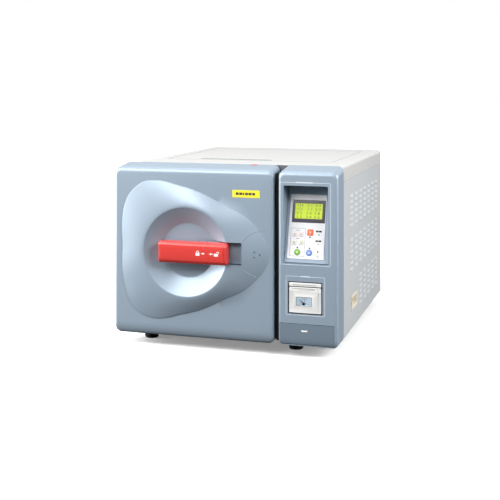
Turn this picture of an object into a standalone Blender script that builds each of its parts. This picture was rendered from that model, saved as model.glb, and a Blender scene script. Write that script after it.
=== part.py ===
"""Benchtop steam autoclave: a 22 litre front-loading steriliser with a control column.

Every size is in metres.  Shapes are drawn in a bench frame: x runs right from the
door's left edge, y runs back from the door's face and z runs up from the housing's
underside.  ORIGIN moves that frame so the model stands on z = 0, centred in x and y.
"""
import math

import bmesh
import bpy
from mathutils import Matrix, Vector

# ---------------------------------------------------------------- driving sizes
WIDTH = 0.510               # across the door and the control column
BODY_HEIGHT = 0.380         # housing, underside to top
BODY_DEPTH = 0.594          # door face to the rear panel's outer face
FOOT_HEIGHT = 0.028
FOOT_RADIUS, FOOT_TIP = 0.018, 0.015
FOOT_FLANGE = 0.010         # straight upper part of a foot
FOOT_X = (0.053, 0.398)     # left and right pair
FOOT_INSET = 0.023          # front pair behind the housing's front
FOOT_REAR_INSET = 0.053     # rear pair before the rear panel

FRONT_DEPTH = 0.060         # door and control column, front to back
DOOR_WIDTH = 0.368
DOOR_GAP = 0.0115           # black gap between the door and the column
CABINET_LEFT = 0.025        # the cabinet is set in here to make room for the hinge
CABINET_RIGHT_INSET = 0.005
SHEET = 0.0015              # steel sheet of the housing
TOP_FLANGE = 0.036          # the top cover's turned-down sides
PLASTIC_WALL = 0.003
CLEAR = 0.0004              # gap between parts that lie face to face
SEAM = 0.002                # gap between the front pieces and the cabinet

CORNER_RADIUS = 0.013       # corners of the door and the column, seen from the front
TOP_ROLL = 0.012            # front upper edge
TOP_FALL = 0.008            # the upper face drops this much from back to front
DOOR_UNDERCUT = (0.010, 0.026)   # depth and height of the door's rolled lower edge
COLUMN_UNDERCUT = (0.006, 0.008)

CHAMBER_X, CHAMBER_Z = 0.172, 0.191      # axis of the chamber and of the dish
CHAMBER_RADIUS = 0.1225
CHAMBER_WALL = 0.003
CHAMBER_REAR_ROOM = 0.082   # from the end of the straight wall to the rear panel
CHAMBER_CROWN = 0.028       # depth of the dished end
GASKET_WIDTH = 0.011
FLANGE_MARGIN = 0.0095      # the flange outside the gasket
FLANGE_THICK = 0.010
INSULATION = 0.012
HEATER_THICK = 0.0035
HEATER_LENGTH = 0.090
RACK_WIDTH, RACK_CLEAR = 0.160, 0.0058   # clearance of the rack's lower corners
RACK_GAUGE, RACK_LEDGE = 0.0015, 0.009
TRAYS, TRAY_HEIGHT, TRAY_WALL = 3, 0.018, 0.001

DISH_RIM, DISH_FLOOR = 0.0975, 0.060     # radii
DISH_PROUD, DISH_DEEP = 0.015, 0.008     # rim before, floor behind the door's face
RIM_LAND = 0.003
CHANNEL_END = 0.301                      # right-hand end of the handle's channel
CHANNEL_HEIGHT = 0.050
CHANNEL_FLOOR = 0.002

HANDLE_LENGTH, HANDLE_HEIGHT = 0.158, 0.0465
HANDLE_X = 0.1925                        # middle of the handle, locked
HANDLE_PROUD = 0.028
HANDLE_BACK = -0.004
HANDLE_TRAVEL = 0.026
POST_LENGTH, POST_HEIGHT = 0.024, 0.014

TOOTH_MODULE = 0.002
PINION_TEETH = 16
PINION_THICK = 0.006
TOOTH_SHARE = 0.34                       # tooth width as a share of the pitch
LOCK_Y = 0.014                           # front face of the lock's moving layer
LOCK_BAR = 0.014
PIN_RADIUS = 0.003
BOSS_RADIUS = 0.009
LOCK_REACH = 0.018                       # toothed length on each side of the pinion
RACK_HALF = 0.068
RUNNING = 0.00015                        # radial clearance of shafts in bores
BOLT_GAP = 0.0012
KEEPER_X, KEEPER_WIDTH, KEEPER_HEIGHT = 0.342, 0.008, 0.022
KEEPER_REACH = 0.030                     # y of the keeper's nose

SIDE_HEM = 0.012            # the side covers' inward hem along their upper edge
TOP_BEND = 0.008            # bend radius along the top cover's sides

HINGE_X, HINGE_Y = 0.012, 0.075
HINGE_PIN = 0.004
STRAP_THICK = 0.0022
STRAP_LEFT, STRAP_RIGHT = 0.003, 0.022
STRAP_LOW, STRAP_HIGH = 0.040, 0.340
EAR_LENGTH, EAR_RADIUS = 0.0075, 0.0068
KNUCKLE_RADIUS, KNUCKLE_LENGTH = 0.0075, 0.030
KNUCKLES = (0.085, 0.295)                # heights of the two knuckles' middles

RECESS_LEFT, RECESS_RIGHT = 0.394, 0.487
RECESS_LOW, RECESS_HIGH = 0.176, 0.338
KEYPAD_TILT = math.radians(15.0)
KEYPAD_START = 0.003                     # plate's lower edge behind the column's face
KEYPAD_THICK = 0.004
OVERLAY_WIDTH, OVERLAY_HEIGHT = 0.080, 0.131
OVERLAY_LEFT, OVERLAY_LOW = 0.003, 0.012  # place of the overlay on the plate
OVERLAY_THICK = 0.0008
KEY_PROUD = 0.0010
KEY_THICK = 0.0036
KEY_TRAVEL = 0.0006
KEY_GAP = 0.0004
SQUARE_KEY, START_KEY, ROUND_KEY = 0.009, 0.0125, 0.013
LCD_FRAME = (0.0056, 0.0788, 0.0086, 0.0576)   # left, right, top, bottom on the overlay
LCD_WINDOW = (0.0112, 0.0720, 0.0157, 0.0490)
BOARD_BEHIND = 0.009

PRINTER_LEFT, PRINTER_RIGHT = 0.403, 0.474
PRINTER_LOW, PRINTER_HIGH = 0.071, 0.136
PRINTER_DEPTH = 0.050
PRINTER_WALL = 0.002
PRINTER_COVER = 0.003
PAPER_RADIUS, PAPER_WIDTH = 0.016, 0.057
PLATEN_RADIUS = 0.004

FLAP_LEFT, FLAP_RIGHT = 0.383, 0.501
FLAP_LOW, FLAP_HIGH = 0.004, 0.044
FLAP_THICK = 0.003
FLAP_BAY_DEPTH = 0.044
DRAIN_X = (0.413, 0.471)
DRAIN_Z = 0.024
DRAIN_RADIUS = 0.006

LID_LEFT, LID_RIGHT = 0.064, 0.466
LID_FRONT, LID_REAR_INSET = 0.154, 0.076
LID_THICK = 0.003
FINGER_LEFT, FINGER_RIGHT, FINGER_DEPTH = 0.145, 0.320, 0.009
TANK_DEPTH = 0.036
TANK_WALL = 0.002

FAN_X, FAN_Z = 0.400, 0.250
FAN_SIZE, FAN_DEPTH, FAN_BORE = 0.092, 0.025, 0.043
FAN_BLADES = 7
FAN_HUB, BLADE_THICK, BLADE_CHORD = 0.016, 0.0018, 0.017
BLADE_PITCH = math.radians(40.0)
REAR_PROUD = 0.018
MACHINE_LEFT, MACHINE_RIGHT = 0.345, 0.475     # the bay right of the chamber
PUMP_Z, PUMP_RADIUS = 0.085, 0.045
PUMP_LENGTH, PUMP_REAR_INSET = 0.170, 0.144
CONDENSER_DEPTH, CONDENSER_REAR_INSET = 0.025, 0.049
CONDENSER_HALF, CONDENSER_RUNS = 0.045, 14
CONDENSER_PITCH, CONDENSER_TUBE = 0.009, 0.003
MANIFOLD_DEPTH, MANIFOLD_GAP = 0.040, 0.060   # the gap lies before the pump
MANIFOLD_LOW, MANIFOLD_HIGH = 0.020, 0.060
COILS, COIL_RADIUS, COIL_TOP = 3, 0.014, 0.115
INLET_X, INLET_Z = 0.430, 0.070
VALVE_X, VALVE_Z = 0.172, 0.300
SIDE_GRIP = (0.172, 0.236, 0.046, 0.072)  # y and z limits of the right-hand side grip
RELEASE_X, RELEASE_Y = 0.3105, 0.051
PLATE_FRONT, PLATE_BACK = 0.038, 0.0578
EGG = ((0.361, 0.190), (0.326, 0.252), (0.250, 0.297), (0.163, 0.331), (0.090, 0.343),
       (0.066, 0.338), (0.032, 0.306), (0.019, 0.201), (0.023, 0.118), (0.043, 0.065),
       (0.083, 0.041), (0.163, 0.053), (0.250, 0.087), (0.317, 0.124))   # the swelling's outline

# ---------------------------------------------------------------- derived places
ORIGIN = Vector((-WIDTH / 2, (HANDLE_PROUD - BODY_DEPTH - REAR_PROUD) / 2, FOOT_HEIGHT))
CABINET_RIGHT = WIDTH - CABINET_RIGHT_INSET
CABINET_FRONT = FRONT_DEPTH + SEAM
COLUMN_LEFT = DOOR_WIDTH + DOOR_GAP
INNER_LEFT = CABINET_LEFT + SHEET + CLEAR
INNER_RIGHT = CABINET_RIGHT - SHEET - CLEAR
REAR_INNER = BODY_DEPTH - SHEET
TOP_INNER = BODY_HEIGHT - SHEET
PITCH_RADIUS = TOOTH_MODULE * PINION_TEETH / 2
TOOTH_PITCH = math.pi * TOOTH_MODULE
RACK_LINE = CHAMBER_Z - LOCK_BAR / 2      # pitch line of the handle's rack
PINION_Z = RACK_LINE - PITCH_RADIUS
BOLT_LINE = PINION_Z - PITCH_RADIUS       # pitch line of the bolt's rack
KEYPAD_LOW = RECESS_LOW + CLEAR + KEYPAD_THICK * math.sin(KEYPAD_TILT)
KEYPAD_TALL = (RECESS_HIGH - CLEAR - KEYPAD_LOW) / math.cos(KEYPAD_TILT)
SIDE_TOP = BODY_HEIGHT - TOP_FLANGE - CLEAR   # upper edge of the side covers
VESSEL_OUTER = CHAMBER_RADIUS + CHAMBER_WALL
CHAMBER_LENGTH = BODY_DEPTH - CHAMBER_REAR_ROOM - CABINET_FRONT
GASKET_OUTER = CHAMBER_RADIUS + GASKET_WIDTH
PLATE_RADIUS = GASKET_OUTER + 0.0005
FLANGE_RADIUS = GASKET_OUTER + FLANGE_MARGIN
LID_REAR = BODY_DEPTH - LID_REAR_INSET
PUMP_REAR = BODY_DEPTH - PUMP_REAR_INSET
PUMP_FRONT = PUMP_REAR - PUMP_LENGTH
MANIFOLD_REAR = PUMP_FRONT - MANIFOLD_GAP
MANIFOLD_FRONT = MANIFOLD_REAR - MANIFOLD_DEPTH
CONDENSER_REAR = BODY_DEPTH - CONDENSER_REAR_INSET
CONDENSER_FRONT = CONDENSER_REAR - CONDENSER_DEPTH
JACKET_INNER = VESSEL_OUTER + HEATER_THICK + 2 * CLEAR
JACKET_OUTER = JACKET_INNER + INSULATION


# ---------------------------------------------------------------- modelling tools
def clear_scene():
    for item in list(bpy.data.objects):
        bpy.data.objects.remove(item, do_unlink=True)


def linear(hex_colour):
    parts = [int(hex_colour[i:i + 2], 16) / 255 for i in (0, 2, 4)]
    return [c / 12.92 if c <= 0.04045 else ((c + 0.055) / 1.055) ** 2.4 for c in parts]


def finish(name, hex_colour, roughness, metallic=0.0):
    """A material, made once for each name."""
    found = bpy.data.materials.get(name)
    if found:
        return found
    made = bpy.data.materials.new(name)
    made.use_nodes = True
    shader = made.node_tree.nodes["Principled BSDF"]
    shader.inputs["Base Color"].default_value = (*linear(hex_colour), 1.0)
    shader.inputs["Roughness"].default_value = roughness
    shader.inputs["Metallic"].default_value = metallic
    return made


def part(name, solid, material, pivot=(0.0, 0.0, 0.0)):
    """Turn a bmesh in the bench frame into a named object whose origin is the pivot."""
    mesh = bpy.data.meshes.new(name)
    bmesh.ops.translate(solid, verts=solid.verts, vec=-Vector(pivot))
    solid.to_mesh(mesh)
    solid.free()
    mesh.materials.append(material)
    mesh.shade_smooth()
    mesh.set_sharp_from_angle(angle=math.radians(35))
    item = bpy.data.objects.new(name, mesh)
    item.location = ORIGIN + Vector(pivot)
    bpy.context.collection.objects.link(item)
    return item


def closed(solid):
    bmesh.ops.recalc_face_normals(solid, faces=solid.faces)
    return solid


def block(x0, x1, y0, y1, z0, z1):
    solid = bmesh.new()
    middle = Vector(((x0 + x1) / 2, (y0 + y1) / 2, (z0 + z1) / 2))
    size = Matrix.Diagonal((x1 - x0, y1 - y0, z1 - z0, 1.0))
    bmesh.ops.create_cube(solid, size=1.0, matrix=Matrix.Translation(middle) @ size)
    return solid


def spread(axis, first, second, along):
    """A point from its two coordinates across an axis and the one along it."""
    if axis == "X":
        return Vector((along, first, second))
    if axis == "Y":
        return Vector((first, along, second))
    return Vector((first, second, along))


def loft(rings):
    """A closed solid through rings of equally many points, with flat ends."""
    solid = bmesh.new()
    loops = [[solid.verts.new(point) for point in ring] for ring in rings]
    count = len(loops[0])
    for near, far in zip(loops, loops[1:]):
        for i in range(count):
            j = (i + 1) % count
            solid.faces.new((near[i], near[j], far[j], far[i]))
    solid.faces.new(loops[0][::-1])
    solid.faces.new(loops[-1])
    return closed(solid)


def prism(outline, axis, low, high):
    """Extrude an outline: (y, z) along X, (x, z) along Y or (x, y) along Z."""
    return loft([[spread(axis, a, b, along) for a, b in outline] for along in (low, high)])


def turned(profile, axis, centre, segments=48):
    """Turn a closed profile of (along, radius) points about an axis."""
    solid = bmesh.new()
    rings = []
    for along, radius in profile:
        if radius < 1e-7:
            point = solid.verts.new(spread(axis, *centre, along))
            rings.append([point] * segments)
            continue
        ring = []
        for i in range(segments):
            angle = math.tau * i / segments
            first = centre[0] + radius * math.cos(angle)
            second = centre[1] + radius * math.sin(angle)
            ring.append(solid.verts.new(spread(axis, first, second, along)))
        rings.append(ring)
    for near, far in zip(rings, rings[1:] + rings[:1]):
        for i in range(segments):
            j = (i + 1) % segments
            corners = list(dict.fromkeys((near[i], near[j], far[j], far[i])))
            if len(corners) > 2:
                solid.faces.new(corners)
    return closed(solid)


def rod(axis, centre, radius, low, high, segments=24):
    return turned([(low, 0), (low, radius), (high, radius), (high, 0)], axis, centre, segments)


def ring(axis, centre, inner, outer, low, high, segments=48):
    profile = [(low, inner), (low, outer), (high, outer), (high, inner)]
    return turned(profile, axis, centre, segments)


def to_object(name, solid):
    mesh = bpy.data.meshes.new(name)
    solid.to_mesh(mesh)
    solid.free()
    item = bpy.data.objects.new(name, mesh)
    bpy.context.collection.objects.link(item)
    return item


def combine(first, second, operation):
    """Boolean of two solids; both are used up."""
    kept = to_object("kept", first)
    tool = to_object("tool", second)
    modifier = kept.modifiers.new("combine", "BOOLEAN")
    modifier.operation = operation
    modifier.object = tool
    bpy.context.view_layer.update()
    graph = bpy.context.evaluated_depsgraph_get()
    result = bpy.data.meshes.new_from_object(kept.evaluated_get(graph))
    solid = bmesh.new()
    solid.from_mesh(result)
    for item in (kept, tool):
        mesh = item.data
        bpy.data.objects.remove(item, do_unlink=True)
        bpy.data.meshes.remove(mesh)
    bpy.data.meshes.remove(result)
    bmesh.ops.remove_doubles(solid, verts=solid.verts, dist=1e-5)
    return solid


def cut(solid, *tools):
    for tool in tools:
        solid = combine(solid, tool, "DIFFERENCE")
    return solid


def join(solid, *others):
    for other in others:
        solid = combine(solid, other, "UNION")
    return solid


def arc(cx, cy, rx, ry, start, end, steps):
    """Points on a quarter or other stretch of an ellipse, angles in degrees."""
    points = []
    for i in range(steps + 1):
        angle = math.radians(start + (end - start) * i / steps)
        points.append((cx + rx * math.cos(angle), cy + ry * math.sin(angle)))
    return points


def rounded(x0, x1, z0, z1, radius, steps=4):
    points = arc(x1 - radius, z1 - radius, radius, radius, 0, 90, steps)
    points += arc(x0 + radius, z1 - radius, radius, radius, 90, 180, steps)
    points += arc(x0 + radius, z0 + radius, radius, radius, 180, 270, steps)
    points += arc(x1 - radius, z0 + radius, radius, radius, 270, 360, steps)
    return points


def rounded_block(x0, x1, y0, y1, z0, z1, radius, axis="Y"):
    if axis == "Y":
        return prism(rounded(x0, x1, z0, z1, radius), "Y", y0, y1)
    if axis == "X":
        return prism(rounded(y0, y1, z0, z1, radius), "X", x0, x1)
    return prism(rounded(x0, x1, y0, y1, radius), "Z", z0, z1)


# ---------------------------------------------------------------- finishes
BLUE_GREY = ("blue_grey_plastic", "A0B2C0", 0.35)
GREY_LIGHT = ("pale_grey_paint", "D3D8D8", 0.45)
WHITE_PAINT = ("white_paint", "F0F0EE", 0.45)
DARK = ("black_plastic", "14161A", 0.5)
RUBBER = ("black_rubber", "1B1B1D", 0.8)
STEEL = ("stainless_steel", "B9BCBF", 0.28, 1.0)
ZINC = ("zinc_plate", "9EA3A6", 0.4, 1.0)
BRASS = ("brass", "B8964A", 0.3, 1.0)
RED = ("red_plastic", "E83E36", 0.35)
SILICONE = ("silicone", "D9D6CF", 0.6)
WHITE_FILM = ("white_overlay", "F2F2F4", 0.4)
GREEN_BOARD = ("circuit_board", "1E5B3A", 0.5)
FOIL = ("foil_faced_wool", "C6C9CB", 0.35, 0.6)


# ---------------------------------------------------------------- housing
def front_outline(undercut):
    """Side view of the door and the column, as (y, z): rolled edges and a falling top."""
    deep, high = undercut
    fall = TOP_FALL * (1 - TOP_ROLL / FRONT_DEPTH)
    points = [(FRONT_DEPTH, 0.0)]
    points += arc(deep, high, deep, high, 270, 180, 6)
    shoulder = BODY_HEIGHT - fall
    points += arc(TOP_ROLL, shoulder - TOP_ROLL, TOP_ROLL, TOP_ROLL, 180, 90, 6)
    points.append((FRONT_DEPTH, BODY_HEIGHT))
    return points


def front_shell(x0, x1, y1, undercut):
    """Solid front piece, cut off at y1."""
    body = prism(front_outline(undercut), "X", x0, x1)
    frame = prism(rounded(x0, x1, 0.0, BODY_HEIGHT, CORNER_RADIUS), "Y", -0.001, y1)
    return combine(body, frame, "INTERSECT")


def front_cavity(x0, x1, y1, undercut):
    """The hollow behind a front piece: one wall smaller, left open behind."""
    high = BODY_HEIGHT - TOP_FALL - PLASTIC_WALL
    wall = PLASTIC_WALL
    outline = [(y1 + 0.001, wall), (undercut[0] + wall, wall), (wall, undercut[1] + wall)]
    outline += [(wall, high - TOP_ROLL), (TOP_ROLL, high), (y1 + 0.001, high)]
    return prism(outline, "X", x0 + wall, x1 - wall)


def end_plate(y0, y1):
    """Front or rear plate between the side covers: notched for their hems, corners cut off."""
    left, right, low, high = INNER_LEFT, INNER_RIGHT, 0.002, TOP_INNER - CLEAR
    notch, z0, z1 = SIDE_HEM - SHEET + CLEAR, SIDE_TOP - SHEET - CLEAR, SIDE_TOP + CLEAR
    side = [(0, low), (0, z0), (notch, z0), (notch, z1), (0, z1), (0, high - TOP_BEND),
            (TOP_BEND, high)]
    outline = [(left + inset, z) for inset, z in side]
    outline += [(right - inset, z) for inset, z in reversed(side)]
    return prism(outline, "Y", y0, y1)


def make_housing():
    paint, white = finish(*GREY_LIGHT), finish(*WHITE_PAINT)
    zinc = finish(*ZINC)
    wall_top = 0.022
    pan = block(INNER_LEFT, INNER_RIGHT, CABINET_FRONT + SHEET + 2 * CLEAR,
                REAR_INNER - CLEAR, 0.0, wall_top)
    hollow = block(INNER_LEFT + SHEET, INNER_RIGHT - SHEET,
                   CABINET_FRONT + 2 * SHEET + 2 * CLEAR, REAR_INNER - CLEAR - SHEET,
                   SHEET, wall_top + 0.01)
    part("base_pan", cut(pan, hollow), paint)

    for name, outer, inward in (("side_cover_left", CABINET_LEFT, 1),
                                ("side_cover_right", CABINET_RIGHT, -1)):
        inner = outer + inward * SHEET
        lip = outer + inward * SIDE_HEM
        x0, x1 = sorted((outer, inner))
        plate = block(x0, x1, CABINET_FRONT, BODY_DEPTH, 0.0, SIDE_TOP)
        h0, h1 = sorted((outer, lip))
        hem = block(h0, h1, CABINET_FRONT, BODY_DEPTH, SIDE_TOP - SHEET, SIDE_TOP)
        solid = join(plate, hem)
        if inward < 0:
            y0, y1, z0, z1 = SIDE_GRIP
            solid = cut(solid, block(x0 - 0.01, x1 + 0.01, y0, y1, z0, z1))
        part(name, solid, paint)

    radius = TOP_BEND
    outer = [(CABINET_RIGHT, BODY_HEIGHT - TOP_FLANGE)]
    outer += arc(CABINET_RIGHT - radius, BODY_HEIGHT - radius, radius, radius, 0, 90, 4)
    outer += arc(CABINET_LEFT + radius, BODY_HEIGHT - radius, radius, radius, 90, 180, 4)
    outer += [(CABINET_LEFT, BODY_HEIGHT - TOP_FLANGE)]
    inner = [(CABINET_LEFT + SHEET, BODY_HEIGHT - TOP_FLANGE)]
    bend = radius - SHEET
    inner += arc(CABINET_LEFT + radius, BODY_HEIGHT - radius, bend, bend, 180, 90, 4)
    inner += arc(CABINET_RIGHT - radius, BODY_HEIGHT - radius, bend, bend, 90, 0, 4)
    inner += [(CABINET_RIGHT - SHEET, BODY_HEIGHT - TOP_FLANGE)]
    cover = prism(outer + inner, "Y", CABINET_FRONT, BODY_DEPTH)
    hatch = block(LID_LEFT, LID_RIGHT, LID_FRONT, LID_REAR, BODY_HEIGHT - 0.02,
                  BODY_HEIGHT + 0.01)
    part("top_cover", cut(cover, hatch), white)

    rear = end_plate(REAR_INNER, BODY_DEPTH)
    rear = cut(rear,
               rod("Y", (FAN_X, FAN_Z), FAN_BORE, REAR_INNER - 0.01, BODY_DEPTH + 0.01, 32),
               rod("Y", (VALVE_X, VALVE_Z), 0.011, REAR_INNER - 0.01, BODY_DEPTH + 0.01),
               block(INLET_X - 0.0315, INLET_X + 0.0145, REAR_INNER - 0.01,
                     BODY_DEPTH + 0.01, INLET_Z - 0.014, INLET_Z + 0.014))
    part("rear_panel", rear, paint)

    head = end_plate(CABINET_FRONT, CABINET_FRONT + SHEET)
    head = cut(head, rod("Y", (CHAMBER_X, CHAMBER_Z), FLANGE_RADIUS + CLEAR,
                         CABINET_FRONT - 0.01, CABINET_FRONT + 0.01, 48))
    keeper_z = BOLT_LINE - LOCK_BAR / 2
    keeper = block(KEEPER_X, KEEPER_X + KEEPER_WIDTH, KEEPER_REACH, CABINET_FRONT + SHEET / 2,
                   keeper_z - KEEPER_HEIGHT / 2, keeper_z + KEEPER_HEIGHT / 2)
    part("front_bulkhead", join(head, keeper), zinc)


def make_feet():
    rubber = finish(*RUBBER)
    y_places = (("front", CABINET_FRONT + FOOT_INSET), ("rear", BODY_DEPTH - FOOT_REAR_INSET))
    for side, x in zip(("left", "right"), FOOT_X):
        for end, y in y_places:
            profile = [(-CLEAR, 0), (-CLEAR, FOOT_RADIUS), (-FOOT_FLANGE, FOOT_RADIUS),
                       (-FOOT_HEIGHT, FOOT_TIP), (-FOOT_HEIGHT, 0)]
            part(f"foot_{end}_{side}", turned(profile, "Z", (x, y), 24), rubber)


# ---------------------------------------------------------------- chamber
def make_chamber():
    axis = (CHAMBER_X, CHAMBER_Z)
    start = CABINET_FRONT
    end = start + CHAMBER_LENGTH
    crown = CHAMBER_CROWN
    profile = [(start, CHAMBER_RADIUS), (start, FLANGE_RADIUS),
               (start + FLANGE_THICK, FLANGE_RADIUS),
               (start + FLANGE_THICK, VESSEL_OUTER), (end, VESSEL_OUTER)]
    profile += [(end + crown * math.sin(a), VESSEL_OUTER * math.cos(a)) for a in (0.5, 1.0)]
    profile += [(end + crown, 0.0), (end + crown - CHAMBER_WALL, 0.0)]
    inner = crown - CHAMBER_WALL
    profile += [(end + inner * math.sin(a), CHAMBER_RADIUS * math.cos(a)) for a in (1.0, 0.5)]
    profile += [(end, CHAMBER_RADIUS)]
    part("chamber_vessel", turned(profile, "Y", axis), finish(*STEEL))

    back = start + FLANGE_THICK + 0.002
    jacket = ring("Y", axis, JACKET_INNER, JACKET_OUTER, back, end - 0.010)
    part("insulation_jacket", jacket, finish(*FOIL))
    heater_start = start + 0.60 * CHAMBER_LENGTH
    heater = ring("Y", axis, VESSEL_OUTER + CLEAR, VESSEL_OUTER + CLEAR + HEATER_THICK,
                  heater_start, heater_start + HEATER_LENGTH)
    part("heater_band", heater, finish(*ZINC))

    rack_half, gauge, ledge = RACK_WIDTH / 2, RACK_GAUGE, RACK_LEDGE
    rack_y = (start + 0.012, end - 0.020)
    drop = math.sqrt((CHAMBER_RADIUS - RACK_CLEAR) ** 2 - rack_half ** 2)
    low, high = CHAMBER_Z - drop, CHAMBER_Z + 0.8 * drop
    shelves = [low + (0.23 + 0.30 * i) * (high - low) for i in range(TRAYS)]
    inner_side = [(gauge, high)]
    for z0 in reversed(shelves):
        inner_side += [(gauge, z0 + gauge), (ledge, z0 + gauge), (ledge, z0), (gauge, z0)]
    inner_side += [(gauge, low + gauge)]
    left, right = CHAMBER_X - rack_half, CHAMBER_X + rack_half
    outline = [(left, high), (left, low), (right, low), (right, high)]
    outline += [(right - inset, z) for inset, z in inner_side]
    outline += [(left + inset, z) for inset, z in reversed(inner_side)]
    rack = prism(outline, "Y", *rack_y)
    part("tray_rack", rack, finish(*STEEL))

    half, wall = rack_half - gauge - 0.001, TRAY_WALL
    y0, y1 = rack_y[0] + 0.004, rack_y[1] - 0.004
    for number, shelf in enumerate(shelves, 1):
        z0 = shelf + gauge + CLEAR
        tray = block(CHAMBER_X - half, CHAMBER_X + half, y0, y1, z0, z0 + TRAY_HEIGHT)
        inside = block(CHAMBER_X - half + wall, CHAMBER_X + half - wall, y0 + wall, y1 - wall,
                       z0 + wall, z0 + TRAY_HEIGHT + 0.01)
        part(f"instrument_tray_{number}", cut(tray, inside), finish(*STEEL))


# ---------------------------------------------------------------- water tank
def make_tank():
    top = TOP_INNER - 0.004
    low = top - TANK_DEPTH
    x0, x1 = LID_LEFT + 0.004, LID_RIGHT - 0.004
    y0, y1 = LID_FRONT + 0.004, LID_REAR - 0.004
    tank = rounded_block(x0, x1, y0, y1, low, top, 0.010, "Z")
    inside = rounded_block(x0 + TANK_WALL, x1 - TANK_WALL, y0 + TANK_WALL, y1 - TANK_WALL,
                           low + TANK_WALL, top + 0.01, 0.008, "Z")
    part("water_tank", cut(tank, inside), finish(*WHITE_FILM))

    gap = 0.0008
    lid = block(LID_LEFT + gap, LID_RIGHT - gap, LID_FRONT + gap, LID_REAR - gap,
                BODY_HEIGHT - LID_THICK, BODY_HEIGHT)
    notch = block(FINGER_LEFT, FINGER_RIGHT, LID_FRONT - 0.01, LID_FRONT + FINGER_DEPTH,
                  BODY_HEIGHT - 0.02, BODY_HEIGHT + 0.01)
    pivot = (CHAMBER_X, LID_REAR, BODY_HEIGHT)
    part("tank_lid", cut(lid, notch), finish(*WHITE_PAINT), pivot)


# ---------------------------------------------------------------- machinery
def serpentine(points, half):
    """Outline of a bent bar that follows right-angled runs, half its gauge to each side."""
    points = [Vector(point) for point in points]
    runs = [(b - a).normalized() for a, b in zip(points, points[1:])]
    sides = [Vector((-run.y, run.x)) for run in runs]
    corners = [sides[0]] + [a + b for a, b in zip(sides, sides[1:])] + [sides[-1]]
    left = [point + half * corner for point, corner in zip(points, corners)]
    right = [point - half * corner for point, corner in zip(points, corners)]
    return left + right[::-1]


def make_machinery():
    brass, dark = finish(*BRASS), finish(*DARK)
    x0, x1 = MACHINE_LEFT, MACHINE_RIGHT
    middle = (x0 + x1) / 2
    motor = rod("Y", (middle, PUMP_Z), PUMP_RADIUS, PUMP_FRONT + 0.050, PUMP_REAR, 32)
    head = block(middle - PUMP_RADIUS - 0.005, middle + PUMP_RADIUS + 0.005, PUMP_FRONT,
                 PUMP_FRONT + 0.052, PUMP_Z - PUMP_RADIUS - 0.002, PUMP_Z + PUMP_RADIUS + 0.010)
    stand = block(middle - 0.030, middle + 0.030, PUMP_FRONT + 0.015, PUMP_REAR - 0.010,
                  SHEET + CLEAR, PUMP_Z - 0.010)
    part("vacuum_pump", join(motor, head, stand), dark)

    start = FAN_X - (CONDENSER_RUNS - 1) * CONDENSER_PITCH / 2
    reach = CONDENSER_HALF - CONDENSER_TUBE / 2
    points = []
    for i in range(CONDENSER_RUNS):
        x = start + i * CONDENSER_PITCH
        rise = reach if i % 2 else -reach
        points += [(x, FAN_Z + rise), (x, FAN_Z - rise)]
    coil = prism(serpentine(points, CONDENSER_TUBE / 2), "Y", CONDENSER_FRONT, CONDENSER_REAR)
    part("condenser", coil, finish(*STEEL))

    body = block(x0, x1, MANIFOLD_FRONT, MANIFOLD_REAR, MANIFOLD_LOW, MANIFOLD_HIGH)
    step = (x1 - x0) / COILS
    for i in range(COILS):
        place = (x0 + (i + 0.5) * step, (MANIFOLD_FRONT + MANIFOLD_REAR) / 2)
        body = join(body, rod("Z", place, COIL_RADIUS, MANIFOLD_HIGH - 0.005, COIL_TOP, 16))
    part("valve_manifold", body, brass)

    probe = [(BODY_DEPTH - 0.045, 0), (BODY_DEPTH - 0.045, 0.006), (BODY_DEPTH - 0.006, 0.006),
             (BODY_DEPTH - 0.006, 0.010), (BODY_DEPTH + 0.008, 0.010),
             (BODY_DEPTH + 0.008, 0.007), (BODY_DEPTH + REAR_PROUD, 0.006),
             (BODY_DEPTH + REAR_PROUD, 0)]
    part("safety_valve", turned(probe, "Y", (VALVE_X, VALVE_Z), 24), brass)


def make_fan():
    dark = finish(*DARK)
    y1 = REAR_INNER - CLEAR
    y0 = y1 - FAN_DEPTH
    half = FAN_SIZE / 2
    bore = FAN_BORE
    frame = rounded_block(FAN_X - half, FAN_X + half, y0, y1, FAN_Z - half, FAN_Z + half, 0.004)
    frame = cut(frame, rod("Y", (FAN_X, FAN_Z), bore, y0 + 0.004, y1 + 0.01, 32))
    vents = ring("Y", (FAN_X, FAN_Z), 0.017, bore, y0 - 0.01, y0 + 0.01, 32)
    spokes = block(FAN_X - 0.06, FAN_X + 0.06, y0 - 0.02, y0 + 0.02, FAN_Z - 0.002,
                   FAN_Z + 0.002)
    upright = block(FAN_X - 0.002, FAN_X + 0.002, y0 - 0.02, y0 + 0.02, FAN_Z - 0.06,
                    FAN_Z + 0.06)
    part("fan_housing", cut(frame, cut(vents, spokes, upright)), dark)

    low, high = y0 + 0.005, y1 - 0.002
    rotor = rod("Y", (FAN_X, FAN_Z), FAN_HUB, low, high, 28)
    centre = Vector((FAN_X, (low + high) / 2, FAN_Z))
    for i in range(FAN_BLADES):
        blade = block(FAN_HUB - 0.003, bore - 0.0025, -BLADE_CHORD / 2, BLADE_CHORD / 2,
                      -BLADE_THICK / 2, BLADE_THICK / 2)
        turn = Matrix.Rotation(math.tau * i / FAN_BLADES, 4, "Y")
        place = Matrix.Translation(centre) @ turn @ Matrix.Rotation(BLADE_PITCH, 4, "X")
        bmesh.ops.transform(blade, matrix=place, verts=blade.verts)
        rotor = join(rotor, blade)
    part("fan_rotor", rotor, dark, (FAN_X, (low + high) / 2, FAN_Z))


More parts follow.
